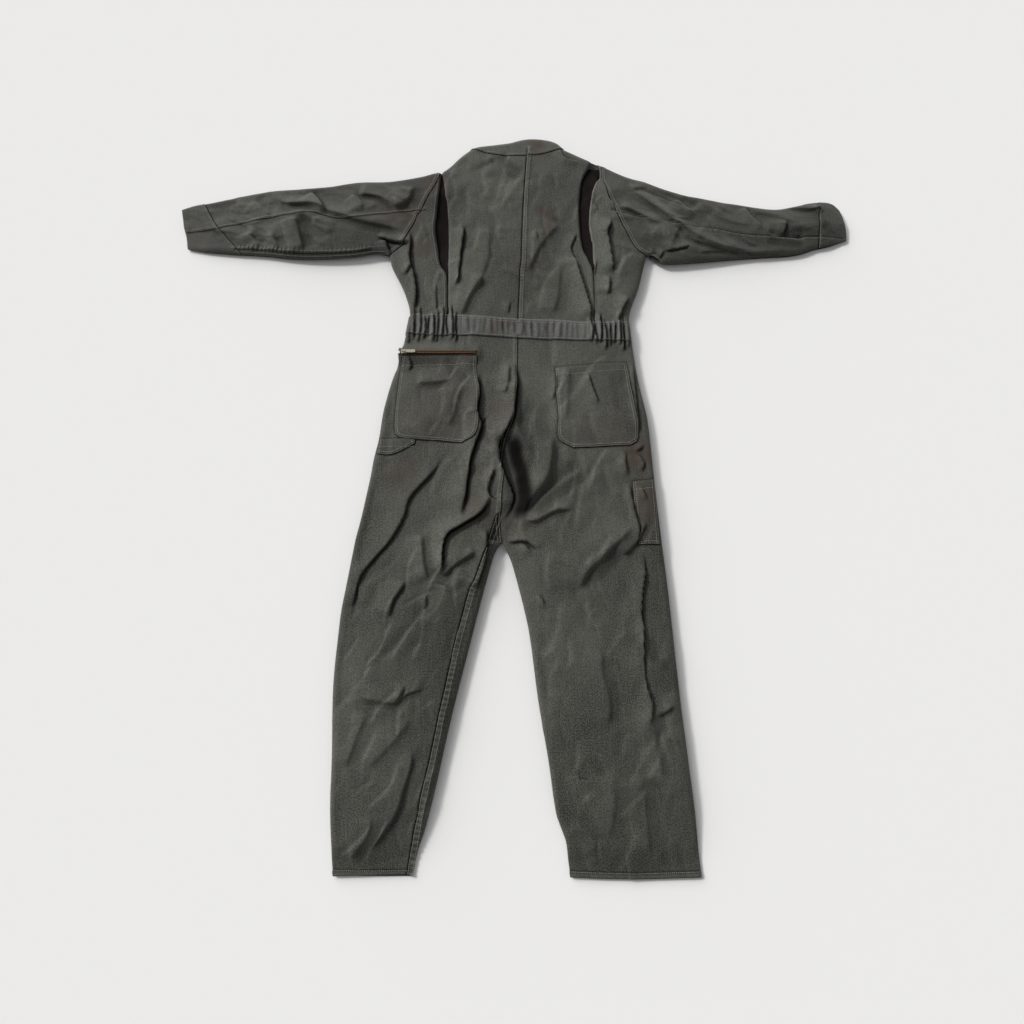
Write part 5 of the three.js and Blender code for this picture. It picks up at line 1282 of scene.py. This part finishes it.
HEM_ROW, ON_BAND, POCKET_HEM_ROW = [0, 10], BAND_LIFT + 0.5, -19
BAND_LOW, BAND_HIGH = part_of(WAIST_BOTTOM, 0, -236, 266), part_of(WAIST_TOP, 0, -230, 263)
LOW_SLEEVE_SEAM = part_of(SLEEVE_LEFT_LOW, 0, -650, -300)
ROWS = {  # panel: its thread, and the rows of it with their distance from the line and their lift
    "back_panel_right": ("back_seam_thread", double(BACK_SEAM, 2.2, 8.8)),
    "leg_back_right": ("seat_seam_thread", double(SEAT_SEAM, 2, 8) + [(HEM_RIGHT + HEM_ROW, 0, 0.3)]),
    "leg_back_left": ("left_inseam_thread", double(INSEAM_LEFT, -2, -11) + [(HEM_LEFT + HEM_ROW, 0, 0.3)]),
    "side_back_left": ("left_armhole_thread", double(ARMHOLE_LEFT, 2, 8) + [(PLEAT_FLAP_LEFT, 6, 0)]),
    "side_back_right": ("right_armhole_thread", double(ARMHOLE_RIGHT, -2, -8)
                        + [(PLEAT_FLAP_RIGHT, -2.5, 0)]),
    "top_sleeve_left": ("left_sleeve_thread", [(SLEEVE_SEAM_LEFT, 2, 0), (CUFF_JOIN_LEFT, 2, 0.5)]
                        + double(LOW_SLEEVE_SEAM, 4, 14)),
    "top_sleeve_right": ("right_sleeve_thread", [(SLEEVE_SEAM_RIGHT, -2, 0), (CUFF_JOIN_RIGHT, -2, 0.5)]),
    "waistband_back": ("waistband_thread", [(BAND_LOW, 3, ON_BAND), (BAND_HIGH, -3, ON_BAND),
                                            (BAND_HIGH, -8, ON_BAND)]),
    "collar_outer": ("neck_thread", [(NECK_SEAM, -3, 0.2)]),
}
STITCHED = {panel: stitching(*thread) for panel, thread in ROWS.items()}
for name, (low, high, left, right) in POCKETS.items():
    border = join(left[::-1], low[1:], right[1:])
    lift = patch_lift((low, left, right))
    rows = [(border, 2.0, lift), (border, 6.5, lift), (high, POCKET_HEM_ROW, lift)]
    STITCHED[name] = stitching(f"{name}_thread", rows)

# %% [markdown]

# %% [markdown]
# ## Floor, light and camera
#
# The suit lies on a plain pale floor. Two suns stand at the upper left: a small one gives the folds
# crisp dark right-hand sides, and a broad one softens them. A pale sky fills what is left. The
# floor is see-through from below, so that the underside can be looked at.

# %% Floor
bpy.ops.object.select_all(action="DESELECT")
bpy.ops.mesh.primitive_plane_add(size=14, location=(0, 0, 0))
floor = bpy.context.object
floor.name = "floor"
pale = bpy.data.materials.new("pale floor")
pale.use_nodes = True
FLOOR_SHADER = pale.node_tree.nodes["Principled BSDF"]
FLOOR_SHADER.inputs["Base Color"].default_value = (0.80, 0.80, 0.80, 1)
FLOOR_SHADER.inputs["Roughness"].default_value = 0.9
FLOOR_SHADER.inputs["Specular IOR Level"].default_value = 0.0
clear = pale.node_tree.nodes.new("ShaderNodeBsdfTransparent")
which = pale.node_tree.nodes.new("ShaderNodeNewGeometry")
either = pale.node_tree.nodes.new("ShaderNodeMixShader")
pale.node_tree.links.new(which.outputs["Backfacing"], either.inputs[0])
pale.node_tree.links.new(FLOOR_SHADER.outputs[0], either.inputs[1])
pale.node_tree.links.new(clear.outputs[0], either.inputs[2])
pale.node_tree.links.new(either.outputs[0], pale.node_tree.nodes["Material Output"].inputs["Surface"])
floor.data.materials.append(pale)

# %% Light
SKY_STRENGTH = 0.345
world = bpy.data.worlds.new("soft sky")
world.use_nodes = True
world.node_tree.nodes["Background"].inputs["Color"].default_value = (1.0, 1.0, 1.0, 1)
world.node_tree.nodes["Background"].inputs["Strength"].default_value = SKY_STRENGTH
bpy.context.scene.world = world
SUNS = (  # name, strength, spread in degrees, way the light goes
    ("crisp sun", 1.95, 10.0, (1.0, -0.6, -0.82)),
    ("hazy sun", 3.3, 60.0, (0.85, -1.0, -0.42)),
)
for name, strength, spread, way in SUNS:
    light = bpy.data.lights.new(name, "SUN")
    light.energy = strength
    light.angle = math.radians(spread)
    light.color = (1.0, 0.99, 0.97)
    lamp = bpy.data.objects.new(name, light)
    lamp.rotation_euler = Vector(way).to_track_quat("-Z", "Y").to_euler()
    bpy.context.collection.objects.link(lamp)
bpy.context.scene.view_settings.view_transform = "Standard"

# %% Camera
camera = bpy.data.cameras.new("camera")
camera.sensor_width = 36
camera.lens = 24.6
camera_object = bpy.data.objects.new("camera", camera)
camera_object.location = (0.0, -0.478, 1.458)
camera_object.rotation_euler = (math.radians(14), 0, 0)
bpy.context.collection.objects.link(camera_object)
bpy.context.scene.camera = camera_object
